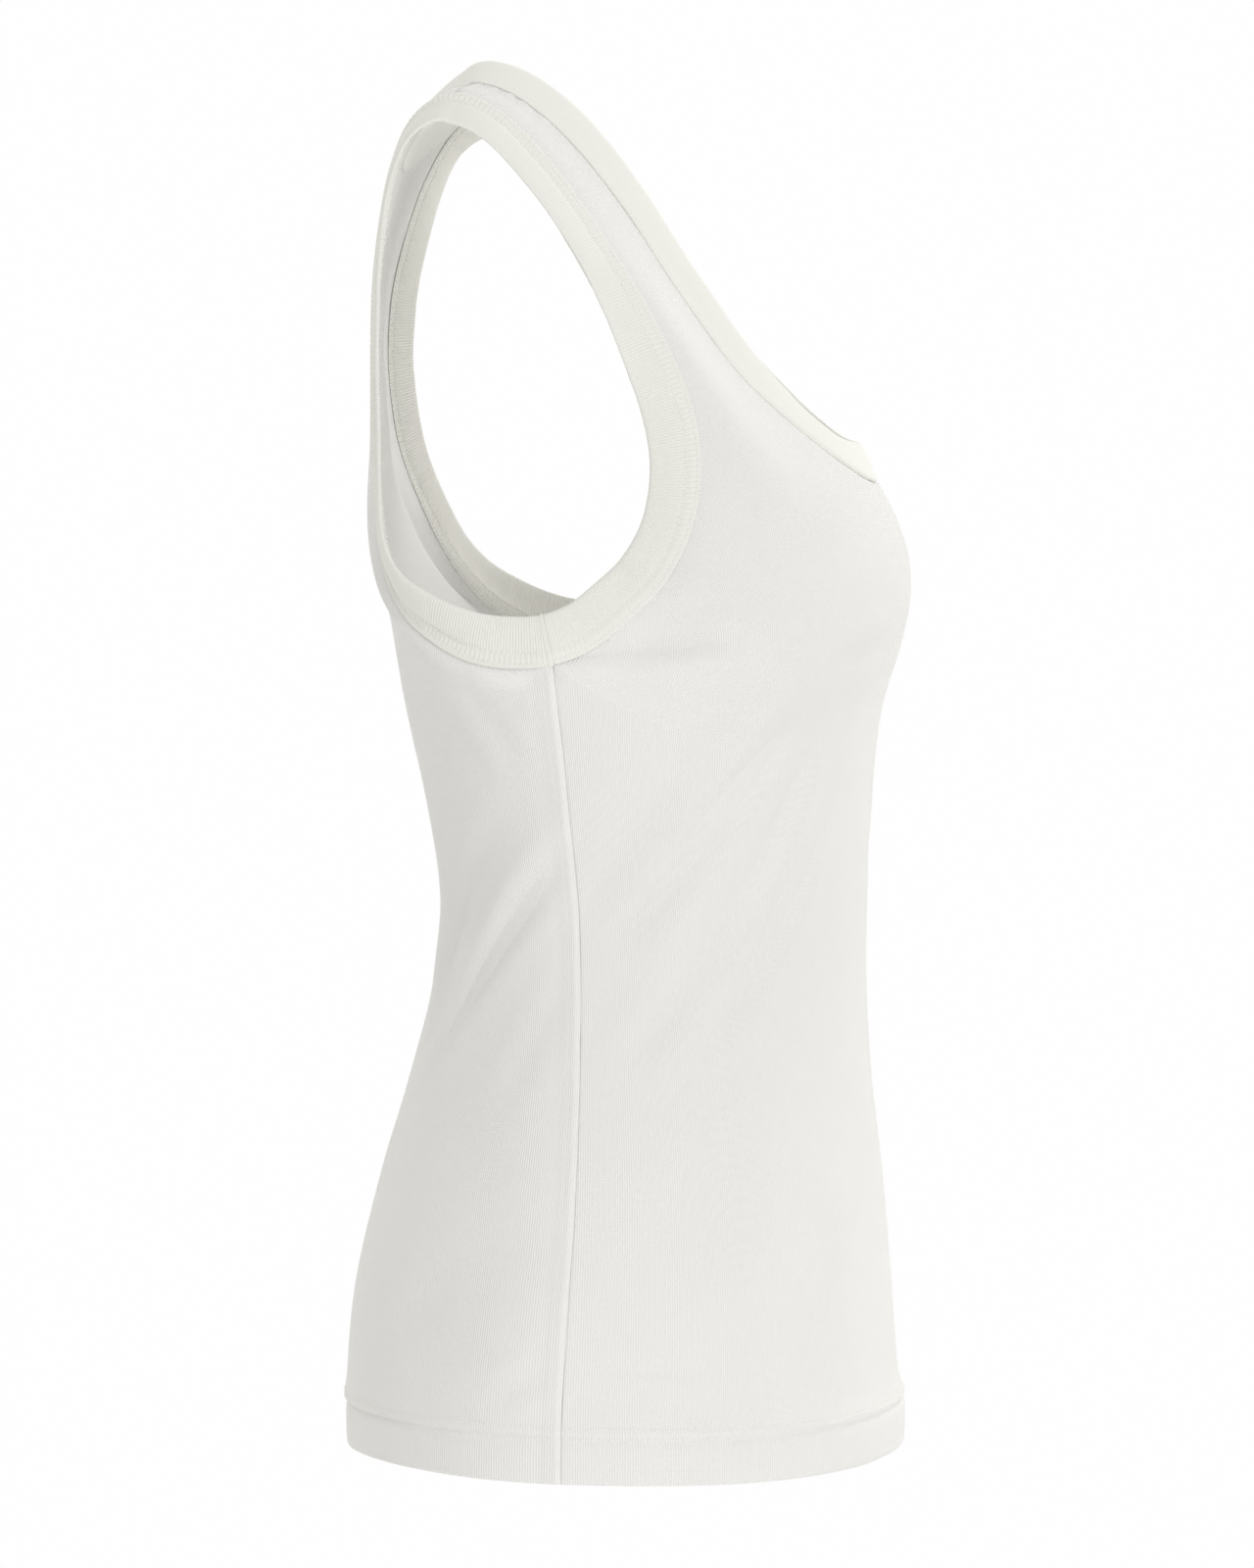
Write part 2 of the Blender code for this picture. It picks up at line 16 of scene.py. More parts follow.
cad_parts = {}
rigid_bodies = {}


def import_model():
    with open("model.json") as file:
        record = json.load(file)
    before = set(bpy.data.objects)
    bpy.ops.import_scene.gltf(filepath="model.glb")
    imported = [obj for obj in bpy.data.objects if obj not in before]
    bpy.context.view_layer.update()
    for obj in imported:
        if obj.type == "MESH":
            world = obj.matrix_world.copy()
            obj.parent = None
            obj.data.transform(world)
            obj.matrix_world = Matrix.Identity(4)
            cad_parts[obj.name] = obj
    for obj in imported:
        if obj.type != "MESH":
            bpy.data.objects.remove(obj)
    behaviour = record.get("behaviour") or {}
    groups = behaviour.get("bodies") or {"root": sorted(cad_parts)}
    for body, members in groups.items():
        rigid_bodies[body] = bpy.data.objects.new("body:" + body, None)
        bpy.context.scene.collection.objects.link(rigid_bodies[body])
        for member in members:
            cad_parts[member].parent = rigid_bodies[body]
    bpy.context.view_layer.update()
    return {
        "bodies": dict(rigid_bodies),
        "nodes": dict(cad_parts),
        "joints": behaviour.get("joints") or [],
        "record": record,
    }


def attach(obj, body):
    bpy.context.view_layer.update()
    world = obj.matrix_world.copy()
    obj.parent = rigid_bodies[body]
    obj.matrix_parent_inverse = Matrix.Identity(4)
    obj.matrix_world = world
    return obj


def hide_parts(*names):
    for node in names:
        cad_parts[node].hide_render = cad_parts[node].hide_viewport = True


bl_info = {
    "name": "Rib-knit tank top",
    "version": (1, 0, 0),
    "blender": (4, 5, 0),
    "location": "3D View > Sidebar > Tank top",
    "description": "Dresses the solids of a tank top with knitted cloth, bindings and sewing",
    "category": "Add Mesh",
}

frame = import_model()

MILLIMETRE = 0.001

# The cut, in millimetres, as in the solids.
SHOULDER_HEIGHT = 584.0      # underside of the straps above the hem
SHOULDER_DEPTH = 62.0        # shoulder line behind the body's axis
UNDERARM_HEIGHT = 342.0      # top of the side seams
NECK_FRONT_HEIGHT = 416.7    # neck seam at the centre of the front
NECK_BACK_HEIGHT = 551.0     # neck seam at the centre of the back
BINDING_WIDTH = 21.0
NECK_BINDING_WIDTH = 19.0
CLOTH = 1.2                  # one layer of knit
HEM_CLOTH = 2.2              # the turned-up double layer
HEM_DEPTH = 20.0
SEAM_GAP = 0.35
STEP = 0.002                 # share of a panel used to find a seam's direction
WELD = 0.001                 # points nearer than this to the middle are joined across it
# The cut is given on the wearer's left. These leave a point there, or take it across.
OWN_SIDE = Vector((1.0, 1.0, 1.0))
OTHER_SIDE = Vector((-1.0, 1.0, 1.0))

# height, degrees that the top hangs turned on the body at that height
TURNS = (
    (0.0, 0.0), (120.0, 0.8), (230.0, 2.2), (330.0, 3.0), (385.0, 2.4), (440.0, 0.4),
    (490.0, -1.1), (550.0, -0.9), (640.0, -0.8),
)

# height, how far back the wearer's left side hangs for each step out from the middle, at
# the front and at the back
LEFT_SWAY = (
    (0.0, 0.0, 0.0), (350.0, 0.0, 0.0), (400.0, 0.050, 0.045), (435.0, 0.090, 0.112),
    (465.0, 0.100, 0.118), (490.0, 0.105, 0.085), (515.0, 0.110, 0.045), (545.0, 0.105, 0.0),
    (575.0, 0.090, -0.035), (640.0, 0.080, -0.035),
)
SWAY_STARTS = 15.0           # the sway sets in softly over this width
SWAY_DEPTHS = (20.0, 80.0)   # and changes from the front's to the back's between these

# share of the way along the back armhole seam from the underarm; degrees by which the
# binding rolls in over the opening, on the wearer's right and left
ARM_ROLLS = (
    (0.0, 0.0, 0.0), (0.14, -4.0, 0.0), (0.26, -13.0, 2.0), (0.40, -15.0, 7.0),
    (0.58, -12.0, 15.0), (0.72, -12.0, 14.0), (0.84, -9.0, 12.0), (0.94, -3.0, 6.0),
    (1.0, 0.0, 0.0),
)

# height, depth of the centre front
FRONT_PROFILE = (
    (0.0, -120.5), (17.0, -120.4), (30.0, -117.8), (72.0, -114.5), (115.0, -111.0),
    (158.0, -106.4), (200.0, -103.8), (242.0, -104.4), (285.0, -106.0), (315.0, -109.0),
    (328.0, -111.8), (345.0, -117.2), (358.0, -121.0), (370.0, -122.8), (384.0, -121.8),
    (396.0, -118.4), (405.0, -114.6), (416.7, -108.7),
)

# height, depth of the centre back
BACK_PROFILE = (
    (0.0, 121.0), (30.0, 121.0), (72.0, 117.0), (115.0, 107.0), (158.0, 94.0),
    (200.0, 83.0), (226.0, 79.5), (243.0, 80.0), (285.0, 86.5), (328.0, 95.5),
    (362.0, 99.8), (380.0, 101.8), (404.0, 103.4), (455.0, 106.2), (485.0, 107.4),
    (505.0, 107.0), (525.0, 104.2), (551.0, 98.3),
)

# height, half width, depth of the side seam
SIDE_PROFILE = (
    (0.0, 170.0, 16.0), (30.0, 168.0, 15.0), (72.0, 163.0, 12.0), (115.0, 154.0, 9.0),
    (158.0, 143.0, 7.0), (200.0, 133.0, 6.0), (226.0, 130.0, 6.0), (243.0, 130.0, 6.5),
    (285.0, 135.0, 9.0), (315.0, 142.0, 11.0), (342.0, 150.0, 13.0),
)

# half width, depth, height along the front armhole seam, underarm to shoulder
FRONT_ARMHOLE = (
    (150.0, 13.0, 342.0), (147.5, -3.0, 348.5), (143.5, -17.0, 360.0),
    (137.0, -30.6, 375.0), (129.5, -40.0, 397.0), (122.0, -41.3, 424.0),
    (115.0, -34.0, 452.0), (109.5, -17.9, 483.0), (103.5, 3.8, 518.0),
    (100.0, 24.6, 548.0), (97.5, 47.4, 572.0), (96.0, 68.3, 581.0),
)

# half width, depth, height along the back armhole seam, underarm to shoulder
BACK_ARMHOLE = (
    (150.0, 13.0, 342.0), (148.5, 29.0, 340.5), (144.5, 47.0, 342.5),
    (136.5, 64.0, 350.0), (123.0, 80.5, 363.0), (105.0, 92.3, 384.5),
    (86.0, 99.6, 414.0), (74.5, 103.6, 452.0), (72.0, 104.6, 495.0),
    (78.5, 100.8, 527.0), (86.5, 94.4, 553.0), (93.5, 84.2, 572.5), (96.0, 68.3, 581.0),
)

# half width, depth, height along the front neck seam, centre to shoulder
FRONT_NECK = (
    (0.0, -108.7, 416.7), (29.0, -104.0, 420.0), (48.0, -91.4, 429.3),
    (60.0, -71.8, 445.2), (67.5, -50.3, 466.0), (72.0, -25.6, 499.0),
    (75.0, -0.8, 537.0), (76.5, 22.1, 564.6), (77.5, 43.1, 581.7), (78.0, 60.0, 587.4),
)

# half width, depth, height along the back neck seam, centre to shoulder
BACK_NECK = (
    (0.0, 98.3, 551.0), (21.0, 97.6, 552.0), (40.0, 94.6, 556.5), (55.0, 89.5, 563.5),
    (65.5, 82.8, 571.5), (72.5, 75.5, 578.6), (76.5, 68.0, 584.0), (78.0, 60.0, 587.4),
)

# share of the way from underarm to shoulder; the bearing (degrees from straight across)
# and the climb of the cloth where it leaves the middle, and where it meets the armhole
FRONT_LEANS = (
    (0.0, 0.0, 0.0, 90.0, 0.85), (0.10, 0.0, 0.0, 88.0, 0.45),
    (0.22, -8.0, -0.25, 86.0, 0.15), (0.35, 6.0, -0.3, 82.0, 0.0),
    (0.50, 18.0, -0.25, 70.0, 0.0), (0.70, 24.0, -0.15, 46.0, -0.1),
    (0.88, 26.0, -0.4, 38.0, -0.5), (1.0, 24.0, -0.5, 26.0, -0.6),
)
BACK_LEANS = (
    (0.0, 0.0, 0.0, -90.0, 0.85), (0.12, 0.0, 0.0, -80.0, 0.40),
    (0.25, 0.0, 0.0, -50.0, 0.15), (0.40, 0.0, -0.05, -20.0, 0.0),
    (0.55, 2.0, -0.15, -11.0, 0.0), (0.66, 4.0, -0.30, -11.0, 0.0),
    (0.80, 8.0, -0.40, -10.0, -0.15), (0.90, 14.0, -0.45, 0.0, -0.40),
    (1.0, 24.0, -0.5, 26.0, -0.6),
)

# share of the way along the armhole seam from the underarm; which way its binding
# stands: out from the middle, back, and up
FRONT_ARM_STAND = (
    (0.0, 0.0, 0.0, 1.0), (0.10, -0.03, 0.66, 0.75), (0.22, 0.0, 0.90, 0.43),
    (0.30, 0.07, 0.98, 0.16), (0.40, 0.22, 0.95, -0.19), (0.50, 0.43, 0.83, -0.35),
    (0.60, 0.66, 0.67, -0.30), (0.70, 0.80, 0.52, -0.26), (0.88, 0.82, 0.41, -0.37),
    (1.0, 0.80, 0.20, -0.57),
)
BACK_ARM_STAND = (
    (0.0, 0.0, 0.0, 1.0), (0.10, 0.08, 0.10, 0.97), (0.20, 0.40, -0.10, 0.86),
    (0.30, 0.65, -0.20, 0.66), (0.40, 0.76, -0.33, 0.50), (0.50, 0.86, -0.38, 0.33),
    (0.60, 0.93, -0.34, 0.10), (0.70, 0.93, -0.33, -0.10), (0.85, 0.92, -0.15, -0.35),
    (1.0, 0.80, 0.20, -0.57),
)

# share of the way along the neck seam from the centre; which way its binding stands:
# out from the middle, back, and up
FRONT_NECK_STAND = (
    (0.0, 0.0, 0.42, 0.91), (0.10, -0.62, 0.30, 0.66), (0.23, -0.88, 0.0, 0.48),
    (0.36, -0.86, -0.32, 0.36), (0.50, -0.84, -0.44, 0.32), (0.64, -0.83, -0.46, 0.32),
    (0.85, -0.78, -0.36, 0.52), (1.0, -0.80, -0.24, 0.46),
)
BACK_NECK_STAND = (
    (0.0, 0.0, -0.20, 1.0), (0.25, -0.35, -0.20, 0.85), (0.50, -0.60, -0.22, 0.70),
    (0.75, -0.74, -0.24, 0.57), (1.0, -0.80, -0.24, 0.46),
)

# roundness of a level's quarter curve: 0.552 is an ellipse, more is squarer
FRONT_FULLNESS = ((0.0, 0.60), (200.0, 0.585), (320.0, 0.63), (370.0, 0.66), (420.0, 0.60))
BACK_FULLNESS = ((0.0, 0.575), (200.0, 0.56), (320.0, 0.57), (420.0, 0.60))
CLIMB_STARTS = 0.45          # share of the body's height where its cloth starts to climb
RISE_FADE = 0.2              # the side seam's slope dies out over this share of the armhole
RISE_STEP = 2.0              # up and down the side seam to find its slope

# Broad soft folds: bearing and height of each end (bearing in degrees round from the
# centre front towards the wearer's right), how deep, and how far each side it reaches.
FOLDS = (
    (30.0, 352.0, 62.0, 268.0, 2.2, 16.0),
    (62.0, 330.0, 96.0, 218.0, 1.8, 15.0),
    (66.0, 362.0, 84.0, 352.0, 2.4, 9.0),
    (118.0, 262.0, 146.0, 168.0, 2.6, 17.0),
    (100.0, 120.0, 128.0, 40.0, 2.0, 20.0),
    (40.0, 120.0, 66.0, 30.0, 1.8, 20.0),
    (-34.0, 350.0, -70.0, 256.0, 2.2, 17.0),
    (-64.0, 322.0, -100.0, 226.0, 1.6, 15.0),
    (-68.0, 360.0, -86.0, 350.0, 2.2, 9.0),
    (-122.0, 256.0, -150.0, 176.0, 2.4, 18.0),
    (-104.0, 112.0, -132.0, 36.0, 2.0, 20.0),
    (-44.0, 116.0, -70.0, 34.0, 1.7, 20.0),
)
MEAN_RADIUS = 128.0          # turns a fold's bearing into a distance round the body
FOLD_ENDS = 0.3              # share of a fold's length over which each end dies out
FOLD_RIM = (1.8, 0.6)        # this many reaches away, the cloth stands out by this share

# bearing of a place on the hem, as for the folds, and how far it hangs below the level
HEM_DROPS = (
    (-180.0, 0.0), (-130.0, -1.2), (-95.0, 0.4), (-60.0, 1.6), (0.0, 0.3), (62.0, 2.2),
    (92.0, 0.6), (128.0, -2.2), (180.0, 0.0),
)
HEM_DROP_REACH = 90.0        # the uneven hang dies out this far above the hem

EDGE_SAMPLES = 1400          # points along a seam against which distances are measured
PANEL_COLUMNS = 62           # across half a panel
ROW_WIDTH = 190.0            # of half a panel, to space the columns beside its edge
ROW_SPACING = 3.3            # between a panel's rows, away from its hem and edges
# the first columns' distances from a panel's edge, and the first rows' from the hem
EDGE_STEPS = (0.0, 0.35, 0.75, 1.2, 1.8, 2.6, 3.6, 4.9, 6.2, 7.0, 7.8, 9.4, 11.5)
HEM_STEPS = (0.0, 0.35, 0.9, 1.8, 3.4, 6.0, 9.0, 12.0, 14.6, 16.4, 17.3, 17.9, 18.5, 19.1,
             19.8, 20.6, 21.4, 22.1, 22.7, 23.3, 23.9, 24.6, 25.8, 27.6, 30.0)

EASE = 14.0                  # the turn at the neck's centre is eased this far up and down
EASE_FADE = 0.05             # and less beyond this share of the panel
EASE_ENDS = 0.12             # share of a row over which the easing sets in at each end
EASE_WEIGHTS = ((-1.0, 0.1), (-0.5, 0.25), (0.0, 0.3), (0.5, 0.25), (1.0, 0.1))
DRAW_IN = 0.9                # how much of a row's change in width the knit takes up
LEVEL_PULL = 0.8             # how far rows run straight across where the cloth lies flat
SLOPE_STEPS = (0.01, 0.004)  # shares across and up by which a panel's slope is found

# Creases in the cloth, beyond the broad folds: bearing and height of each end, how deep
# (negative stands out as a ridge), and how far each side it reaches.
CREASES = (
    (100.0, 346.0, 62.0, 353.0, 2.2, 4.5),
    (92.0, 352.0, 68.0, 362.0, 0.4, 3.6),
    (48.0, 340.0, 16.0, 349.0, 1.1, 6.0),
    (46.0, 328.0, 89.0, 214.0, 2.7, 6.5),
    (31.0, 290.0, 70.0, 178.0, 2.6, 6.5),
    (55.0, 260.0, 87.0, 164.0, 2.2, 6.5),
    (34.0, 322.0, 59.0, 226.0, -1.8, 6.0),
    (58.0, 322.0, 84.0, 250.0, -0.9, 6.0),
    (22.0, 300.0, 40.0, 236.0, 0.5, 6.0),
    (89.0, 276.0, 140.0, 146.0, 1.5, 6.0),
    (91.0, 286.0, 146.0, 150.0, -1.4, 6.0),
    (100.0, 290.0, 150.0, 186.0, 1.2, 6.5),
    (92.0, 222.0, 110.0, 142.0, 0.5, 5.5),
    (110.0, 340.0, 97.0, 324.0, -0.9, 4.5),
    (113.0, 336.0, 102.0, 302.0, 0.7, 4.0),
    (121.0, 338.0, 104.0, 288.0, -0.7, 5.0),
    (93.0, 45.0, 70.0, 48.0, 0.5, 3.0),
    (92.0, 36.0, 78.0, 35.5, 0.7, 3.2),
    (74.0, 99.0, 56.0, 82.0, -0.3, 3.0),
    (97.0, 46.0, 106.0, 34.0, 0.9, 4.5),
    (40.0, 92.0, 62.0, 42.0, 0.5, 8.0),
    (114.0, 86.0, 136.0, 38.0, 0.6, 8.0),
    (-92.0, 343.0, -66.0, 353.0, 0.7, 5.5),
    (-50.0, 338.0, -20.0, 350.0, 0.7, 6.0),
    (-46.0, 322.0, -82.0, 230.0, 1.4, 7.0),
    (-34.0, 300.0, -60.0, 214.0, 1.3, 7.5),
    (-54.0, 246.0, -88.0, 158.0, 0.7, 6.0),
    (-40.0, 336.0, -66.0, 210.0, -1.2, 7.0),
    (-92.0, 268.0, -134.0, 170.0, 1.2, 6.0),
    (-92.0, 280.0, -140.0, 180.0, -1.1, 6.0),
    (-104.0, 214.0, -122.0, 140.0, 0.8, 6.0),
    (-108.0, 338.0, -100.0, 312.0, -0.7, 5.0),
    (-94.0, 40.0, -74.0, 42.0, 0.6, 3.6),
    (-98.0, 48.0, -108.0, 32.0, 0.9, 5.0),
    (-44.0, 94.0, -64.0, 40.0, 0.6, 8.0),
    (8.0, 300.0, -14.0, 244.0, 0.5, 10.0),
    (172.0, 262.0, 196.0, 214.0, 0.9, 10.0),
    (164.0, 232.0, 190.0, 196.0, 0.8, 9.0),
)
CREASE_REACHES = 4.5         # a crease does nothing beyond this many reaches away
# waves for each millimetre of the cloth's slight unevenness, and how far they stand
SLACK = ((0.022, 0.5), (0.06, 0.12))

# Along the neck seam near the shoulder, the strap's cloth is drawn into small puckers:
# distance along the seam from the shoulder, how high they stand, how wide.
PUCKERS = (
    (-6.0, 0.9, 2.0), (1.0, 1.2, 2.0), (8.0, 1.5, 2.1), (15.5, 1.4, 2.2), (24.0, 1.0, 2.8),
    (35.0, 0.5, 3.6),
)
PUCKER_SINK = (10.0, -1.1, 22.0)         # the same, of the dip that they stand in
PUCKER_REACH = 9.0           # how far from the seam they die out
PUCKER_START = 2.0           # and how far from it they set in
PUCKER_REACHES = 3.0         # they do nothing this many reaches away

# distance from the side seam, how far the cloth stands out: the front runs flat to the
# seam, the back rides over the turned seam allowance and rolls in at the seam
FRONT_SEAM_RELIEF = (
    (0.0, -0.75), (0.35, -0.30), (0.75, -0.08), (1.5, 0.0), (3.0, 0.0), (12.0, 0.0),
)
BACK_SEAM_RELIEF = (
    (0.0, -0.70), (0.35, -0.05), (0.8, 0.30), (1.5, 0.72), (2.3, 1.10), (3.1, 1.02),
    (4.2, 0.60), (6.6, 0.34), (7.6, 0.02), (9.5, -0.10), (12.0, 0.0),
)

# distance from the neck seam, how far the panel's cloth dips into the crease there
NECK_DIP = ((0.0, -1.3), (0.35, -1.2), (0.7, -0.85), (1.2, -0.35), (2.0, -0.08), (6.0, 0.0))

# distance from the armhole seam, how far the panel's cloth dips under the binding's edge
ARM_DIP = (
    (0.0, -0.9), (0.8, -0.95), (1.5, -0.85), (2.3, -0.50), (3.4, -0.18), (4.8, 0.0), (6.0, 0.0),
)
DIP_UP_FRONT = 0.3           # share of that dip along the front of the armhole and the strap
DIP_DEPTHS = (-25.0, 10.0)   # it grows to its full from front to back between these depths,
DIP_HEIGHTS = (500.0, 420.0)             # and down the back between these heights
SEAM_MARGIN = 15.0           # a side or armhole seam is looked for this far past its end
NECK_MARGIN = 8.0            # and the neck seam this far below its lowest place

# height above the hem's edge, how far the cloth stands out: a rounded fold at the edge and
# two rows of stitching, 5 mm apart, with the cloth puffed between them
HEM_RELIEF = (
    (0.0, -0.9), (0.35, -0.4), (0.9, -0.08), (1.8, 0.05), (6.0, 0.22), (12.0, 0.25),
    (16.4, 0.12), (17.9, -0.45), (18.5, -0.70), (19.1, -0.40), (19.8, 0.30), (20.6, 0.88),
    (21.4, 1.00), (22.2, 0.90), (23.0, 0.62), (23.3, 0.50), (23.9, 0.46), (25.0, 0.36),
    (27.6, 0.14), (30.0, 0.0), (40.0, 0.0),
)
HEM_STITCH_ROWS = (18.5, 23.3)
# the hem's unevenness: waves for each degree round it and each millimetre up, how far they
# stand, and the heights between which they set in
HEM_WAVES = (0.16, 0.05)
HEM_WAVE_RISE = 0.25
HEM_WAVE_HEIGHTS = (2.0, 8.0)

# Folded bindings in section: distance from the seam into the opening, and height off the
# panel, round the outer face, the folded edge and back along the inner face.
ARM_SECTION = (
    (-0.1, -0.45), (-0.85, -0.15), (-1.05, 0.15), (-0.8, 0.60), (-0.2, 0.88), (0.5, 0.86),
    (1.0, 0.66), (1.6, 0.88), (2.6, 1.02), (3.8, 0.98), (4.8, 0.76), (5.6, 0.36), (6.3, 0.58),
    (7.4, 0.78), (9.0, 0.82), (11.5, 0.80), (14.0, 0.76), (16.5, 0.68), (18.4, 0.55),
    (19.8, 0.25), (20.6, -0.25), (20.9, -0.85), (20.6, -1.40), (19.6, -1.75), (17.0, -1.88),
    (13.0, -1.92), (9.0, -1.94), (6.6, -1.98), (5.6, -1.84), (4.6, -1.98), (2.4, -2.0),
    (1.0, -1.86), (0.4, -2.0), (-0.3, -2.0), (-0.9, -1.85), (-1.0, -1.65), (-0.6, -1.50),
    (0.3, -1.35),
)
ARM_STITCH_ROWS = (1.0, 5.6)
ARM_OUTER = tuple(corner for corner in ARM_SECTION if corner[0] >= 0.1 and corner[1] > -0.2)
NECK_SECTION = (
    (0.12, -1.0), (0.10, -0.45), (0.30, 0.05), (0.75, 0.38), (1.5, 0.56), (2.6, 0.64),
    (4.5, 0.66), (7.5, 0.66), (10.5, 0.66), (13.5, 0.62), (16.0, 0.50), (17.7, 0.25),
    (18.6, -0.2), (18.9, -0.75), (18.6, -1.30), (17.6, -1.68), (15.0, -1.84),
    (11.0, -1.90), (7.0, -1.90), (3.5, -1.88), (1.0, -1.84), (0.45, -1.6),
)
INNER_FOLLOWS = 0.35         # share of the outer face's relief that shows inside
SEWN_GAP = 0.04              # between two pieces of cloth that are sewn together
RIB_STATIONS = 5             # stations round an armhole's binding for each of its ribs
NECK_SPACING = 1.1           # between the stations of the neck's binding

SEAM_SAMPLES = 420           # stations measured along each half of a bound seam
ROUGH_STATIONS = 12          # enough to measure a seam's length
SMOOTHED_STRETCH = 4.0       # a binding's directions are evened out over this far each way
FOLLOWS_PANEL = 0.45         # share of its width over which a binding leaves the panel's way
OUTER_FACE = -0.9            # a binding's section above this height is its outer face
# distance from the seam into the opening, how far the ribs of an armhole binding stand
RIB_FULLNESS = (
    (-0.8, 0.15), (0.5, 0.20), (1.5, 0.10), (2.4, 0.15), (4.2, 0.15), (5.6, 0.25),
    (6.6, 0.8), (8.0, 1.0), (18.5, 1.0), (20.0, 0.8), (21.0, 0.4),
)
RIBS_FADE = (445.0, 525.0)   # heights between which the ribs fade up the straps
RIBS_LEFT = 0.05             # share of them that is left there
INNER_RIBS = 0.55            # share of them on the inner face
RIB_LEVEL = 0.4              # share of their height by which they sink into the face
PUFF = 0.18                  # how far the cloth puffs between the rows, once each stitch
PUFF_PITCH = 2.4
PUFF_EDGES = (1.0, 5.4)      # from here to here across the binding,
PUFF_FADE = 1.2              # setting in over this far at each edge
# a binding's unevenness: waves for each millimetre along it and across it, and their rise
BINDING_WAVES = (0.11, 0.15)
BINDING_WAVE_RISE = 0.12
# distance along an armhole binding from its join: a ridge and the crevice beside it
JOIN_RELIEF = (
    (-3.5, 0.0), (-2.0, 0.15), (-1.0, 0.55), (-0.3, 0.55), (0.25, 0.10), (0.55, -0.40),
    (0.9, -0.10), (1.6, 0.05), (3.5, 0.0),
)
THREAD_SIDES = 5
HEM_THREAD_SUNK = 0.3        # share of the thread's radius by which it lies in the cloth
ARM_THREAD_SUNK = 0.2
THREAD_RISE = (-0.9, 0.1, 0.5, 0.6, 0.5, 0.1)    # height of a thread through one stitch
HEM_PATH_STEPS = 90
BINDING_PATH_STEPS = 520
INNER_FACE = -1.92           # a binding's inner face, below the panel's outer face

# Seam allowances in section: distance from the seam over the back's inner face, and depth
# below the outer face.
ALLOWANCE_SECTION = (
    (-0.9, 1.25), (0.2, 1.22), (2.5, 1.24), (5.0, 1.24), (6.6, 1.35), (6.9, 1.7), (6.5, 2.05),
    (5.0, 2.2), (2.5, 2.2), (0.2, 2.1), (-0.8, 1.8),
)
ALLOWANCE_SPACING = 1.0
ALLOWANCE_ENDS = 2.0         # left off at each end of a side seam's allowance
OVERLOCK_PITCH = 4.0
OVERLOCK_DEPTH = 0.12
OVERLOCK_FACE = 1.5          # the thread wraps the section from this depth down

# A knit's finish: how high its ribs stand in metres, how far they wander, the length of a loop in
# metres, and how dark the painted shade between the ribs is.
CLOTH_KNIT = (0.00022, 0.1, 0.0013, 0.5)
BINDING_KNIT = (0.00003, 0.0, 0.05, 0.35)
BAND_KNIT = (0.00002, 0.1, 0.05, 0.1)
RIB_ROUNDNESS = 0.7          # a rib's crown: 1 is a plain wave, less is fuller
LOOP_RISE = 0.18             # share of a rib's height that its loops take
LOOP_SLANT = 1.2             # how far a loop leans down each side of its rib
FUZZ = 0.25                  # height of the fuzz beside that of a rib

# The studio, in metres.
FLOOR_RADIUS = 2.2
AIM = Vector((0.0, -0.06, -0.3))         # where the lights point
SURROUND_TINT = (1.0, 0.997, 0.97)
SEEN_SURROUND = (0.995, 0.995, 0.995, 1.0)
KEY_TINT = (1.0, 0.995, 1.03)
FILL_TINT = (1.0, 0.995, 0.96)
BACK_FILL_SHARE = 0.6        # of the front fill's power
CAMERA_PLACE = (-3.9903, -0.3410, -0.1290)
CAMERA_TARGET = Vector((0.0, -0.062, -0.2988))
CAMERA_LENS = 211.7          # in millimetres, on a sensor of this width
SENSOR_WIDTH = 36.0


def blend_between(a, b, share):
    return a + (b - a) * share


def smooth_step(share):
    share = min(max(share, 0.0), 1.0)
    return share * share * (3.0 - 2.0 * share)


def ramp(at, first, last):
    """0 up to the first place and 1 from the last, rising smoothly between them."""
    return smooth_step((at - first) / (last - first))


def swell(at, middle, high, wide):
    """How high a rounded rise stands at a place across it."""
    return high * math.exp(-((at - middle) / wide) ** 2)


def read_table(table, at):
    """Smoothly interpolate every column of a table whose first column rises."""
    last = len(table) - 1
    at = min(max(at, table[0][0]), table[last][0])
    row = 0
    while row < last - 1 and at > table[row + 1][0]:
        row += 1
    start, end = table[row], table[row + 1]
    before, after = table[max(row - 1, 0)], table[min(row + 2, last)]
    span = end[0] - start[0]
    t = (at - start[0]) / span
    values = []
    for column in range(1, len(start)):
        slope_in = (end[column] - before[column]) / (end[0] - before[0]) * span
        slope_out = (after[column] - start[column]) / (after[0] - start[0]) * span
        values.append(
            start[column] * (1 + 2 * t) * (1 - t) ** 2
            + slope_in * t * (1 - t) ** 2
            + end[column] * t * t * (3 - 2 * t)
            + slope_out * t * t * (t - 1)
        )
    return values


class Route:
    """A smooth curve through (half width, depth, height) stations, by share of length.

    It starts and ends running on smoothly towards the neighbouring stations given.
    """

    def __init__(self, neighbour_before, stations, neighbour_after):
        keys = [Vector(key) for key in (neighbour_before, *stations, neighbour_after)]
        lengths = [0.0]
        for one, two in zip(keys, keys[1:]):
            lengths.append(lengths[-1] + (two - one).length)
        self.start = lengths[1]
        self.length = lengths[-2] - lengths[1]
        self.table = [(at, *key) for at, key in zip(lengths, keys)]

    def point(self, share):
        return Vector(read_table(self.table, self.start + share * self.length))


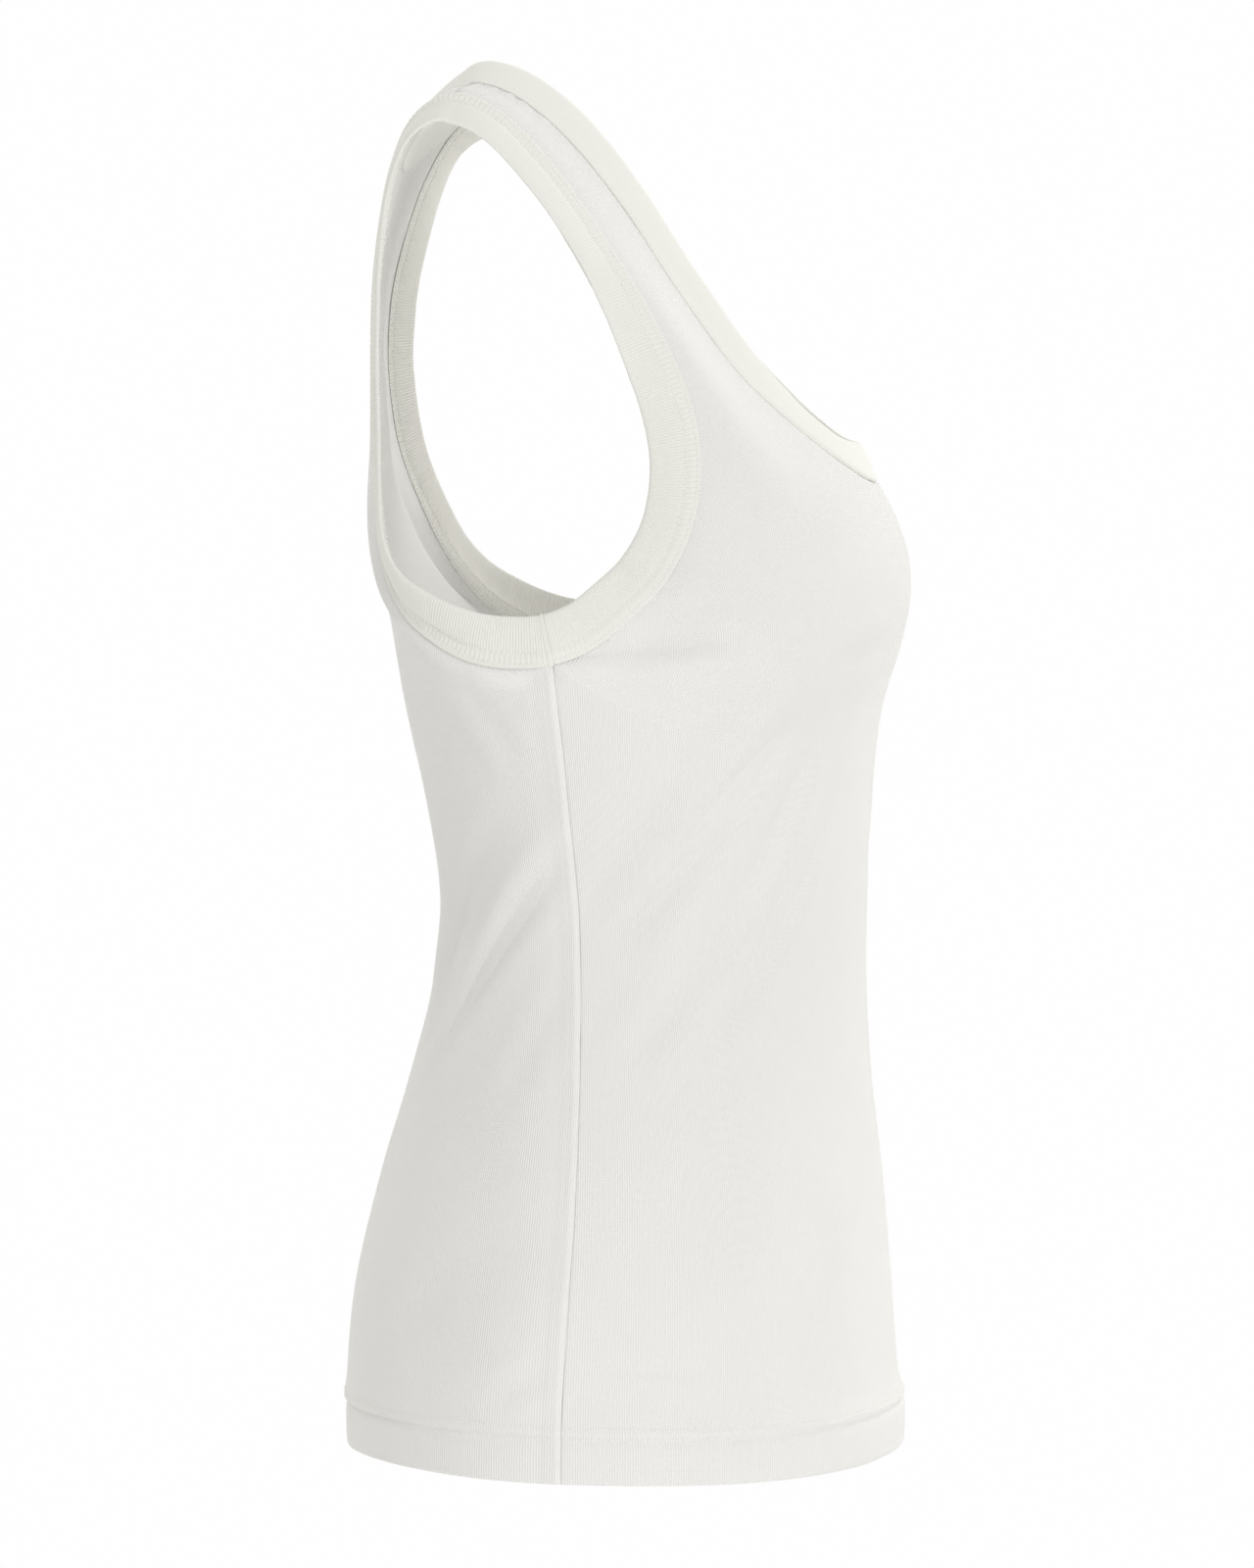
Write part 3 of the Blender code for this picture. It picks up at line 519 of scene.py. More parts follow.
class Panel:
    """The wearer's left half of the front or the back, as points of across and up.

    across runs from 0 at the middle to 1 at the side seam or armhole; up runs from
    0 at the hem to 1 at the underarm and 2 at the shoulder.
    """

    def __init__(self, profile, neck_height, neck, neck_stand, neck_beyond, armhole,
                 arm_stand, arm_beyond, leans, fullness):
        self.profile = profile
        self.neck_stand = neck_stand
        self.arm_stand = arm_stand
        self.fullness = fullness
        self.leans = leans
        self.neck = Route(Vector(neck[1]) * OTHER_SIDE, neck, neck_beyond[-2])
        self.armhole = Route(arm_beyond[1], armhole, arm_beyond[-2])
        self.chest = neck_height - UNDERARM_HEIGHT
        self.corner = self.chest / (self.chest + self.neck.length)

    def inner(self, up):
        """Middle line up to the neck seam, then along the neck seam."""
        share = up - 1.0
        if share > self.corner:
            return self.neck.point((share - self.corner) / (1.0 - self.corner))
        height = up * UNDERARM_HEIGHT
        if share > 0.0:
            height = UNDERARM_HEIGHT + self.chest * share / self.corner
        return Vector((0.0, read_table(self.profile, height)[0], height))

    def outer(self, up):
        """Side seam up to the underarm, then along the armhole seam."""
        if up <= 1.0:
            height = up * UNDERARM_HEIGHT
            half_width, depth = read_table(SIDE_PROFILE, height)
            return Vector((half_width, depth, height))
        return self.armhole.point(up - 1.0)

    def directions(self, up):
        """Which way the cloth runs at the middle and at the side of a level."""
        share = max(up - 1.0, 0.0)
        bearing_in, climb_in, bearing_out, climb_out = read_table(self.leans, share)
        rising = side_rise(min(up, 1.0) * UNDERARM_HEIGHT)
        if up < 1.0:
            climb_out *= ramp(up, CLIMB_STARTS, 1.0)
        upright = Vector((0.0, 0.0, 1.0))
        rising = upright.lerp(rising, ramp(share, RISE_FADE, 0.0))
        leaving = Vector((math.cos(math.radians(bearing_in)),
                          math.sin(math.radians(bearing_in)), climb_in))
        meeting = Vector((math.cos(math.radians(bearing_out)),
                          math.sin(math.radians(bearing_out)), 0.0)) + rising * climb_out
        return leaving, meeting, abs(bearing_out - bearing_in)

    def point(self, across, up):
        start, end = self.inner(up), self.outer(up)
        leaving, meeting, turning = self.directions(up)
        chord = (end - start).length
        roundness = math.sin(math.radians(min(turning, 90.0))) ** 2
        full = read_table(self.fullness, (start.z + end.z) / 2)[0]
        reach_in = blend_between(chord / 3, full * abs(end.x - start.x), roundness)
        reach_out = blend_between(chord / 3, full * abs(end.y - start.y), roundness)
        one = start + leaving * reach_in
        two = end - meeting * reach_out
        rest = 1.0 - across
        return (start * rest ** 3 + one * 3 * rest ** 2 * across
                + two * 3 * rest * across ** 2 + end * across ** 3)


def side_rise(height):
    """How the side seam leaves the upright, for each step up."""
    below, above = (read_table(SIDE_PROFILE, height + way) for way in (-RISE_STEP, RISE_STEP))
    rise = min(height + RISE_STEP, UNDERARM_HEIGHT) - max(height - RISE_STEP, 0.0)
    return Vector(((above[0] - below[0]) / rise, (above[1] - below[1]) / rise, 1.0))


def bearing_of(point):
    """Degrees round from the centre front towards the wearer's right."""
    return math.degrees(math.atan2(-point.x, -point.y))


def line_offset(lines, point, reaches=math.inf):
    """How far a table of folds or creases pushes a point of the cloth in (negative) or out.

    A line does nothing at more than its reach away, times reaches.
    """
    bearing = bearing_of(point)
    rim, rim_share = FOLD_RIM
    offset = 0.0
    for bearing_1, height_1, bearing_2, height_2, deep, reach in lines:
        turned = (bearing - bearing_1 + 180.0) % 360.0 - 180.0
        across = math.radians(turned) * MEAN_RADIUS
        rise = point.z - height_1
        along_x = math.radians(bearing_2 - bearing_1) * MEAN_RADIUS
        along_z = height_2 - height_1
        share = (across * along_x + rise * along_z) / (along_x ** 2 + along_z ** 2)
        if share <= 0.0 or share >= 1.0:
            continue
        away = math.hypot(across - along_x * share, rise - along_z * share)
        if away > reaches * reach:
            continue
        fade = smooth_step(share / FOLD_ENDS) * smooth_step((1.0 - share) / FOLD_ENDS)
        offset -= fade * swell(away, 0.0, deep, reach)
        offset += fade * swell(away, rim * reach, rim_share * deep, reach)
    return offset


def place(point):
    """Fold and turn a worn point, then move it into the part's frame, in metres."""
    radial = Vector((point.x, point.y, 0.0)).normalized()
    point = point + radial * line_offset(FOLDS, point)
    drop = read_table(HEM_DROPS, bearing_of(point))[0]
    point.z -= drop * smooth_step(1.0 - point.z / HEM_DROP_REACH)
    left = max(point.x, 0.0)
    sway = blend_between(*read_table(LEFT_SWAY, point.z), ramp(point.y, *SWAY_DEPTHS))
    point.y += sway * left * left / (left + SWAY_STARTS)
    angle = -math.radians(read_table(TURNS, point.z)[0])
    x = point.x * math.cos(angle) - point.y * math.sin(angle)
    y = point.x * math.sin(angle) + point.y * math.cos(angle)
    moved = Vector((x, y - SHOULDER_DEPTH, point.z - SHOULDER_HEIGHT))
    return moved * MILLIMETRE


FRONT = Panel(FRONT_PROFILE, NECK_FRONT_HEIGHT, FRONT_NECK, FRONT_NECK_STAND, BACK_NECK,
              FRONT_ARMHOLE, FRONT_ARM_STAND, BACK_ARMHOLE, FRONT_LEANS, FRONT_FULLNESS)
BACK = Panel(BACK_PROFILE, NECK_BACK_HEIGHT, BACK_NECK, BACK_NECK_STAND, FRONT_NECK,
             BACK_ARMHOLE, BACK_ARM_STAND, FRONT_ARMHOLE, BACK_LEANS, BACK_FULLNESS)


def seam_normal(panel, point):
    """The outward normal that front and back share along a side or shoulder seam."""
    way = math.copysign(1.0, point.x)
    if point.z <= UNDERARM_HEIGHT + 1.0:
        rise = side_rise(point.z)
        normal = Vector((0.0, 1.0, 0.0)).cross(rise)
    else:
        leaving, meeting, _ = panel.directions(2.0)
        share = (abs(point.x) - panel.inner(2.0).x) / (panel.outer(2.0).x - panel.inner(2.0).x)
        over = panel.outer(2.0 - STEP) - panel.outer(2.0)
        normal = leaving.lerp(meeting, share).cross(over)
        if normal.z < 0.0:
            normal = -normal
    return Vector((normal.x * way, normal.y, normal.z)).normalized()


def armhole_station(panel, up, side):
    """Seam point, and the frames of panel and binding there, at a level of a panel."""
    here = panel.point(1.0, up)
    along = (panel.point(1.0, min(up + STEP, 2.0)) - panel.point(1.0, max(up - STEP, 1.0)))
    leaving = here - panel.point(1.0 - STEP, up)
    stand = Vector(read_table(panel.arm_stand, up - 1.0))
    strip_frame = band_frame(here, along, stand)
    if panel is BACK:
        strip_frame = rolled(strip_frame, read_table(ARM_ROLLS, up - 1.0)[side])
    return here, band_frame(here, along, leaving), strip_frame


def rolled(frame, degrees):
    """A binding's frame, turned about its seam so that its edge rolls into the body."""
    inwards, outward = frame
    turn = math.radians(degrees)
    return (inwards * math.cos(turn) - outward * math.sin(turn),
            outward * math.cos(turn) + inwards * math.sin(turn))


def neck_station(panel, up):
    """Seam point, and the frames of panel and binding there, at a level of a panel."""
    here = panel.point(0.0, up)
    lowest = 1.0 + panel.corner
    along = panel.point(0.0, min(up + STEP, 2.0)) - panel.point(0.0, max(up - STEP, lowest))
    share = (up - lowest) / (2.0 - lowest)
    if share < 1e-6:
        along = Vector((1.0, 0.0, 0.0))
    leaving = here - panel.point(STEP, up)
    stand = Vector(read_table(panel.neck_stand, share))
    return here, band_frame(here, along, leaving), band_frame(here, along, stand)


def band_frame(here, along, inwards):
    """Two directions at a seam: across the seam into the opening, and off the body."""
    along = along.normalized()
    inwards = (inwards - along * inwards.dot(along)).normalized()
    outward = along.cross(inwards).normalized()
    axis = Vector((0.0, 0.0, here.z))
    if outward.dot(here - axis) < 0.0:
        outward = -outward
    return inwards, outward


def seam_tree(curve, first, last):
    """Points along one of a panel's edges, both sides of the middle, to measure from."""
    tree = kdtree.KDTree(2 * (EDGE_SAMPLES + 1))
    for sample in range(EDGE_SAMPLES + 1):
        here = curve(blend_between(first, last, sample / EDGE_SAMPLES))
        tree.insert(here, sample)
        tree.insert((-here.x, here.y, here.z), sample)
    tree.balance()
    return tree


def row_levels(panel):
    """The up values of a fine panel's rows, close together at the hem and neck seam."""
    heights = list(HEM_STEPS)
    while heights[-1] < UNDERARM_HEIGHT - ROW_SPACING:
        heights.append(heights[-1] + ROW_SPACING)
    heights[-1] = UNDERARM_HEIGHT
    ups = [height / UNDERARM_HEIGHT for height in heights]
    neck_up = 1.0 + panel.corner
    below = [neck_up - panel.corner * step / panel.chest for step in EDGE_STEPS[7::-1]]
    count = round((panel.chest - EDGE_STEPS[7]) / ROW_SPACING)
    ups += [blend_between(1.0, below[0], row / count) for row in range(1, count)]
    ups += below
    strap = panel.neck.length
    count = round(strap / ROW_SPACING)
    return ups + [blend_between(neck_up, 2.0, row / count) for row in range(1, count + 1)]


def column_shares(count):
    """Across values, close together at the outer edge for the seam's relief."""
    shares = [1.0 - step / ROW_WIDTH for step in EDGE_STEPS]
    rest = count - len(shares) + 1
    shares += [shares[-1] * (1.0 - column / rest) for column in range(1, rest + 1)]
    return shares[::-1]


def eased_point(panel, across, up):
    """A panel's point, with the turn in its levels at the neck's centre eased."""
    away = abs(up - 1.0 - panel.corner)
    ease = smooth_step(across / EASE_ENDS) * smooth_step((1.0 - across) / EASE_ENDS)
    step = EASE / (panel.chest + panel.neck.length) * ease * smooth_step(2.0 - away / EASE_FADE)
    if step < 1e-5:
        return panel.point(across, up)
    return sum((panel.point(across, up + step * way) * weight for way, weight in EASE_WEIGHTS),
               Vector())


def lay_out_cut(grid, rows, columns):
    """Flat-cut places of a bent half panel: width from the middle line, and length.

    Walks the rows from the middle and up, adding each step's share across the wales and
    along them. The knit gives across, so below the underarm each row is drawn to the width
    of the row there, and the ribs run up beside the side seam.
    """
    ways = []
    for row, points in enumerate(grid):
        line = []
        for column in range(columns + 1):
            right = points[min(column + 1, columns)] - points[max(column - 1, 0)]
            up = grid[min(row + 1, len(grid) - 1)][column] - grid[max(row - 1, 0)][column]
            normal = right.cross(up)
            if normal.length < 1e-9:
                normal = Vector((0.0, -1.0, 0.0))
            normal.normalize()
            level = Vector((0.0, 0.0, 1.0)).cross(normal)
            if level.dot(right) < 0.0:
                level = -level
            flatness = 1.0 - level.length
            level += Vector((1.0, 0.0, 0.0)) * flatness * LEVEL_PULL
            level -= normal * level.dot(normal)
            level.normalize()
            wale = normal.cross(level)
            line.append((level, wale))
        ways.append(line)
    spans = [sum((grid[row][column] - grid[row][column - 1]).dot(ways[row][column][0])
                 for column in range(1, columns + 1)) for row in range(len(grid))]
    whole = spans[min(range(len(rows)), key=lambda row: abs(rows[row] - 1.0))]
    flat = [[(0.0, 0.0)] * (columns + 1) for _ in grid]
    for row in range(len(grid)):
        drawn = (whole / spans[row]) ** DRAW_IN if rows[row] < 1.0 else 1.0
        if row:
            level, wale = ways[row][0]
            step = grid[row][0] - grid[row - 1][0]
            width, length = flat[row - 1][0]
            flat[row][0] = (width + step.dot(level), length + abs(step.dot(wale)))
        for column in range(1, columns + 1):
            level, wale = ways[row][column]
            step = grid[row][column] - grid[row][column - 1]
            width, length = flat[row][column - 1]
            flat[row][column] = (width + step.dot(level) * drawn, length + step.dot(wale))
    return flat


class Relief:
    """The fine relief of one panel: creases, seams, puckers and the hem."""

    def __init__(self, panel, seam_relief):
        self.panel = panel
        self.seam_relief = seam_relief
        neck_up = 1.0 + panel.corner
        self.neck = seam_tree(lambda up: panel.point(0.0, up), neck_up, 2.0)
        self.side = seam_tree(lambda up: panel.point(1.0, up), 0.0, 1.0)
        self.armhole = seam_tree(lambda up: panel.point(1.0, up), 1.0, 2.0)

    def seam_offset(self, point):
        """What the seams near a point and the puckers beside the neck's do to the cloth."""
        offset = 0.0
        if point.z < UNDERARM_HEIGHT + SEAM_MARGIN:
            away = self.side.find(point)[2]
            if away < self.seam_relief[-1][0]:
                offset += read_table(self.seam_relief, away)[0]
        if point.z > UNDERARM_HEIGHT - SEAM_MARGIN:
            away = self.armhole.find(point)[2]
            if away < ARM_DIP[-1][0]:
                low = ramp(point.y, *DIP_DEPTHS) * ramp(point.z, *DIP_HEIGHTS)
                deep = blend_between(DIP_UP_FRONT, 1.0, low)
                offset += deep * read_table(ARM_DIP, away)[0]
        if point.z > NECK_FRONT_HEIGHT - NECK_MARGIN:
            _, sample, away = self.neck.find(point)
            if away < NECK_DIP[-1][0]:
                offset += read_table(NECK_DIP, away)[0]
            if away < PUCKER_REACHES * PUCKER_REACH:
                from_shoulder = (1.0 - sample / EDGE_SAMPLES) * self.panel.neck.length
                rise = sum(swell(from_shoulder, *pucker) for pucker in (*PUCKERS, PUCKER_SINK))
                fade = smooth_step(away / PUCKER_START) * swell(away, 0.0, 1.0, PUCKER_REACH)
                offset += rise * fade
        return offset

    def offset(self, point):
        """How far the outer face stands off the plain cut here, in millimetres."""
        offset = line_offset(CREASES, point, CREASE_REACHES) + self.seam_offset(point)
        if point.z < HEM_RELIEF[-1][0]:
            offset += read_table(HEM_RELIEF, point.z)[0]
            around_hem, up_hem = HEM_WAVES
            wave = noise.noise(Vector((bearing_of(point) * around_hem, point.z * up_hem, 3.0)))
            offset += HEM_WAVE_RISE * wave * ramp(point.z, *HEM_WAVE_HEIGHTS)
        return offset + sum(noise.noise(point * waves) * rise for waves, rise in SLACK)


def weave_map(mesh, width, length):
    """Keep the flat-cut place of every corner as the piece's own UV map, in metres."""
    pattern = mesh.loops.layers.uv.new("cut")
    for face in mesh.faces:
        for loop in face.loops:
            loop[pattern].uv = (loop.vert[width] * MILLIMETRE, loop.vert[length] * MILLIMETRE)


def add_object(name, data):
    item = bpy.data.objects.new(name, data)
    bpy.context.scene.collection.objects.link(item)
    return item


def mesh_object(name, mesh, material):
    """Turn a finished bmesh into an object."""
    data = bpy.data.meshes.new(name)
    mesh.to_mesh(data)
    mesh.free()
    data.materials.append(material)
    return add_object(name, data)


def knit_object(name, mesh, finish, node=None):
    """Turn a finished bmesh into a piece of the top, in place of one of its solids."""
    piece = mesh_object(name, mesh, finish_named(finish))
    piece.data.shade_smooth()
    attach(piece, "root")
    if node:
        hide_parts(node)
    return piece


def panel_cloth(panel, seam_way, seam_relief):
    """Bend a fine grid to half a panel, mirror it, raise its relief and give it a wall."""
    rows = row_levels(panel)
    shares = column_shares(PANEL_COLUMNS)
    columns = len(shares) - 1
    grid = [[eased_point(panel, share, up) for share in shares] for up in rows]
    flat = lay_out_cut(grid, rows, columns)
    mesh = bmesh.new()
    bmesh.ops.create_grid(mesh, x_segments=columns, y_segments=len(rows) - 1, size=0.5)
    width = mesh.verts.layers.float.new("width")
    length = mesh.verts.layers.float.new("length")
    seam = mesh.verts.layers.int.new("seam")
    for vertex in mesh.verts:
        column = round((vertex.co.x + 0.5) * columns)
        row = round((vertex.co.y + 0.5) * (len(rows) - 1))
        vertex.co = grid[row][column]
        vertex[width], vertex[length] = flat[row][column]
        if row == len(rows) - 1 or (column == columns and rows[row] <= 1.0):
            vertex[seam] = 1
            vertex.co.y += seam_way * SEWN_GAP / 2
    bmesh.ops.mirror(mesh, geom=mesh.verts[:] + mesh.edges[:] + mesh.faces[:], axis="X",
                     merge_dist=WELD)
    bmesh.ops.recalc_face_normals(mesh, faces=mesh.faces[:])
    if sum(face.normal.y for face in mesh.faces) * seam_way < 0.0:
        bmesh.ops.reverse_faces(mesh, faces=mesh.faces[:])
    mesh.normal_update()
    relief = Relief(panel, seam_relief)
    walls = {}
    for vertex in mesh.verts:
        if vertex.co.x < 0.0:
            vertex[width] = -vertex[width]
        normal = seam_normal(panel, vertex.co) if vertex[seam] else vertex.normal.copy()
        lift = relief.offset(vertex.co)
        cloth = blend_between(HEM_CLOTH, CLOTH, smooth_step((vertex.co.z - HEM_DEPTH) / 0.8))
        inner = vertex.co - normal * (cloth - INNER_FOLLOWS * max(lift, -0.5))
        walls[vertex] = (inner, vertex.co + normal * lift)
    copied = bmesh.ops.duplicate(mesh, geom=mesh.verts[:] + mesh.edges[:] + mesh.faces[:])
    pairs = copied["vert_map"]
    for vertex, (inner, outer) in walls.items():
        pairs[vertex].co = inner
        vertex.co = outer
    inner_faces = [item for item in copied["geom"] if isinstance(item, bmesh.types.BMFace)]
    bmesh.ops.reverse_faces(mesh, faces=inner_faces)
    bmesh.ops.bridge_loops(mesh, edges=[edge for edge in mesh.edges if edge.is_boundary])
    for vertex in mesh.verts:
        vertex.co = place(vertex.co)
    bmesh.ops.recalc_face_normals(mesh, faces=mesh.faces[:])
    weave_map(mesh, width, length)
    return mesh


def mirrored_station(station):
    """The same station on the wearer's other side."""
    here, *frames = station
    return (here * OTHER_SIDE,
            *((inwards * OTHER_SIDE, outward * OTHER_SIDE) for inwards, outward in frames))


def around(samples, count):
    """Even stations round a closed run of seam stations, with their directions smoothed."""
    flat = [(here, *panel_frame, *strip_frame) for here, panel_frame, strip_frame in samples]
    flat.append(flat[0])
    lengths = [0.0]
    for one, two in zip(flat, flat[1:]):
        lengths.append(lengths[-1] + (two[0] - one[0]).length)
    total = lengths[-1]
    ring, index = [], 0
    for station in range(count):
        at = total * station / count
        while lengths[index + 1] < at:
            index += 1
        share = (at - lengths[index]) / (lengths[index + 1] - lengths[index])
        ring.append([one.lerp(two, share) for one, two in zip(flat[index], flat[index + 1])])
    window = max(1, round(SMOOTHED_STRETCH * count / total))
    smoothed = []
    for station in range(count):
        directions = []
        for which in range(1, 5):
            mean = Vector((0.0, 0.0, 0.0))
            for step in range(-window, window + 1, max(1, window // 4)):
                mean += ring[(station + step) % count][which]
            directions.append(mean.normalized())
        smoothed.append((ring[station][0], *directions))
    return smoothed, total


def armhole_run(side):
    """Seam stations once round an armhole, from the underarm up the front.

    side is 0 on the wearer's right and 1 on the left, whose cut the stations are in.
    """
    steps = [step / SEAM_SAMPLES for step in range(SEAM_SAMPLES)]
    front = [armhole_station(FRONT, 1.0 + step, side) for step in steps]
    return front + [armhole_station(BACK, 2.0 - step, side) for step in steps]


def neck_run():
    """Seam stations once round the neck, from the centre of the front to the wearer's left."""
    lowest = 1.0 + FRONT.corner
    front = [neck_station(FRONT, blend_between(lowest, 2.0, step / SEAM_SAMPLES))
             for step in range(SEAM_SAMPLES)]
    lowest = 1.0 + BACK.corner
    back = [neck_station(BACK, blend_between(2.0, lowest, step / SEAM_SAMPLES))
            for step in range(SEAM_SAMPLES + 1)]
    half = front + back
    return half + [mirrored_station(station) for station in half[-2:0:-1]]


def strip_place(station, reach, lift, width):
    """A point of a binding: the first of it follows the panel, the rest stands as it does."""
    here, panel_in, panel_out, strip_in, strip_out = station
    turn = ramp(reach, SEAM_GAP, width * FOLLOWS_PANEL)
    inwards = panel_in.lerp(strip_in, turn).normalized()
    outward = panel_out.lerp(strip_out, turn).normalized()
    return here + inwards * reach + outward * lift


def binding_strip(ring, total, section, width, mirrored):
    """A grid closed both ways, wrapped round the seam's stations by the strip's section.

    total is the strip's length as its ribs count it.
    """
    stations, corners = len(ring), len(section)
    mesh = bmesh.new()
    bmesh.ops.create_grid(mesh, x_segments=corners, y_segments=stations, size=0.5)
    layers = {name: mesh.verts.layers.float.new(name)
              for name in ("width", "length", "reach", "lift")}
    run = [0.0]
    for one, two in zip(section, section[1:] + section[:1]):
        run.append(run[-1] + math.hypot(two[0] - one[0], two[1] - one[1]))
    spacing = total / stations
    for vertex in mesh.verts:
        corner = round((vertex.co.x + 0.5) * corners)
        station = round((vertex.co.y + 0.5) * stations)
        reach, lift = section[corner % corners]
        vertex[layers["width"]] = station * spacing
        vertex[layers["length"]] = run[corner]
        vertex[layers["reach"]], vertex[layers["lift"]] = reach, lift
        vertex.co = strip_place(ring[station % stations], reach, lift, width)
        if mirrored:
            vertex.co.x = -vertex.co.x
    weave_map(mesh, layers["width"], layers["length"])
    bmesh.ops.remove_doubles(mesh, verts=mesh.verts[:], dist=WELD)
    bmesh.ops.recalc_face_normals(mesh, faces=mesh.faces[:])
    mesh.normal_update()
    return mesh, layers


def raise_ribs(mesh, layers, total, pitch, depth, sewn):
    """Raise the ribs across a binding, flattened where it is stitched.

    A sewn binding also has the join of its ends, and puffs between its rows of stitching.
    """
    lifts = {}
    for vertex in mesh.verts:
        reach, lift = vertex[layers["reach"]], vertex[layers["lift"]]
        along = vertex[layers["width"]]
        outer = lift > OUTER_FACE
        full = read_table(RIB_FULLNESS, reach)[0] if outer else INNER_RIBS
        full *= blend_between(1.0, RIBS_LEFT, ramp(vertex.co.z, *RIBS_FADE))
        rise = depth * full * (math.cos(2.0 * math.pi * along / pitch) - RIB_LEVEL)
        if outer and sewn:
            away = (along + total / 2) % total - total / 2
            if abs(away) < JOIN_RELIEF[-1][0]:
                rise += read_table(JOIN_RELIEF, away)[0]
            near, far = PUFF_EDGES
            between = smooth_step((reach - near) / PUFF_FADE) * smooth_step((far - reach) / PUFF_FADE)
            rise += PUFF * between * math.cos(2.0 * math.pi * along / PUFF_PITCH)
        waves_along, waves_across = BINDING_WAVES
        wave = noise.noise(Vector((along * waves_along, reach * waves_across, 7.0 + total)))
        lifts[vertex] = rise + BINDING_WAVE_RISE * wave
    for vertex, rise in lifts.items():
        vertex.co += vertex.normal * rise
    for vertex in mesh.verts:
        vertex.co = place(vertex.co)
    bmesh.ops.recalc_face_normals(mesh, faces=mesh.faces[:])


def thread_row(mesh, path, stitch, radius, sunk):
    """Stitching along a closed path of (point, outward) pairs: a thread that dives at holes.

    sunk is the share of the thread's radius by which it lies in the cloth.
    """
    lengths = [0.0]
    for one, two in zip(path, path[1:]):
        lengths.append(lengths[-1] + (two[0] - one[0]).length)
    count = round(lengths[-1] / stitch) * len(THREAD_RISE)
    line, index = [], 0
    for step in range(count):
        at = lengths[-1] * step / count
        while index < len(path) - 2 and lengths[index + 1] < at:
            index += 1
        share = (at - lengths[index]) / (lengths[index + 1] - lengths[index])
        here = path[index][0].lerp(path[index + 1][0], share)
        outward = path[index][1].lerp(path[index + 1][1], share).normalized()
        rise = THREAD_RISE[step % len(THREAD_RISE)]
        line.append((here + outward * (rise * radius * 2.0 - radius * sunk), outward))
    made = bmesh.ops.create_grid(mesh, x_segments=THREAD_SIDES, y_segments=count,
                                 size=0.5)["verts"]
    for vertex in made:
        side = round((vertex.co.x + 0.5) * THREAD_SIDES) * 2.0 * math.pi / THREAD_SIDES
        row = round((vertex.co.y + 0.5) * count) % count
        here, outward = line[row]
        across = (line[(row + 1) % count][0] - line[row - 1][0]).cross(outward).normalized()
        vertex.co = here + (across * math.cos(side) + outward * math.sin(side)) * radius
    bmesh.ops.remove_doubles(mesh, verts=made, dist=WELD / 100)


def surface(panel, across, up):
    """A panel's point and outward direction, in the worn frame."""
    step, rise = SLOPE_STEPS
    here = panel.point(across, up)
    right = panel.point(min(across + step, 1.0), up) - panel.point(max(across - step, 0.0), up)
    outward = right.cross(panel.point(across, up + rise) - here).normalized()
    if outward.y * (1.0 if panel is BACK else -1.0) < 0.0:
        outward = -outward
    return here, outward


def hem_path(height):
    """Once round the hem at a height, as (point, outward) pairs of the worn top."""
    up = height / UNDERARM_HEIGHT
    shares = [step / HEM_PATH_STEPS for step in range(HEM_PATH_STEPS)]
    half = [surface(FRONT, share, up) for share in shares]
    half += [surface(BACK, 1.0 - share, up) for share in (*shares, 1.0)]
    return half + [(here * OTHER_SIDE, outward * OTHER_SIDE) for here, outward in half[-2::-1]]


def placed_pair(here, above):
    """A point of the worn top, put in the part's frame, and the way to the one above it."""
    at = place(here)
    return at, (place(above) - at).normalized()


def seam_frames(length, first, last, beside):
    """Points along a seam of the back, the way over the back's cloth, and outward.

    first and last are the (across, up) of the seam's ends; beside is how far across and
    up the cloth lies whose way is taken.
    """
    frames = []
    count = round(length / ALLOWANCE_SPACING)
    for step in range(count + 1):
        across, up = (blend_between(*ends, step / count) for ends in zip(first, last))
        here = BACK.point(across, up)
        over = (BACK.point(across - beside[0], up - beside[1]) - here).normalized()
        frames.append((here, over, seam_normal(BACK, here)))
    return frames


def side_seam_frames():
    end = ALLOWANCE_ENDS / UNDERARM_HEIGHT
    return seam_frames(UNDERARM_HEIGHT - 2.0 * ALLOWANCE_ENDS, (1.0, end), (1.0, 1.0 - end),
                       (0.03, 0.0))


def shoulder_seam_frames():
    width = (BACK.point(1.0, 2.0) - BACK.point(0.0, 2.0)).length
    return seam_frames(width, (0.02, 2.0), (0.98, 2.0), (0.0, 0.03))


def allowance_strip(mesh, frames, side, width, length):
    """A flat overlocked strip behind a seam on one side, closed at both ends."""
    corners = len(ALLOWANCE_SECTION)
    rows = len(frames) - 1
    made = bmesh.ops.create_grid(mesh, x_segments=corners, y_segments=rows, size=0.5)["verts"]
    for vertex in made:
        corner = round((vertex.co.x + 0.5) * corners) % corners
        row = round((vertex.co.y + 0.5) * rows)
        here, over, outward = frames[row]
        reach, depth = ALLOWANCE_SECTION[corner]
        if depth > OVERLOCK_FACE:
            wrap = math.cos(2.0 * math.pi * (row * ALLOWANCE_SPACING + reach) / OVERLOCK_PITCH)
            depth += OVERLOCK_DEPTH * wrap
        vertex[width] = row * ALLOWANCE_SPACING
        vertex[length] = reach
        vertex.co = place((here + over * reach - outward * depth) * side)
    bmesh.ops.remove_doubles(mesh, verts=made, dist=WELD / 100)
    rims = [edge for edge in mesh.edges if edge.is_boundary]
    bmesh.ops.holes_fill(mesh, edges=rims, sides=corners)


def is_front(point):
    """Whether a worn point of the body lies on the front's side of the side seams."""
    return point.y < read_table(SIDE_PROFILE, point.z)[1]


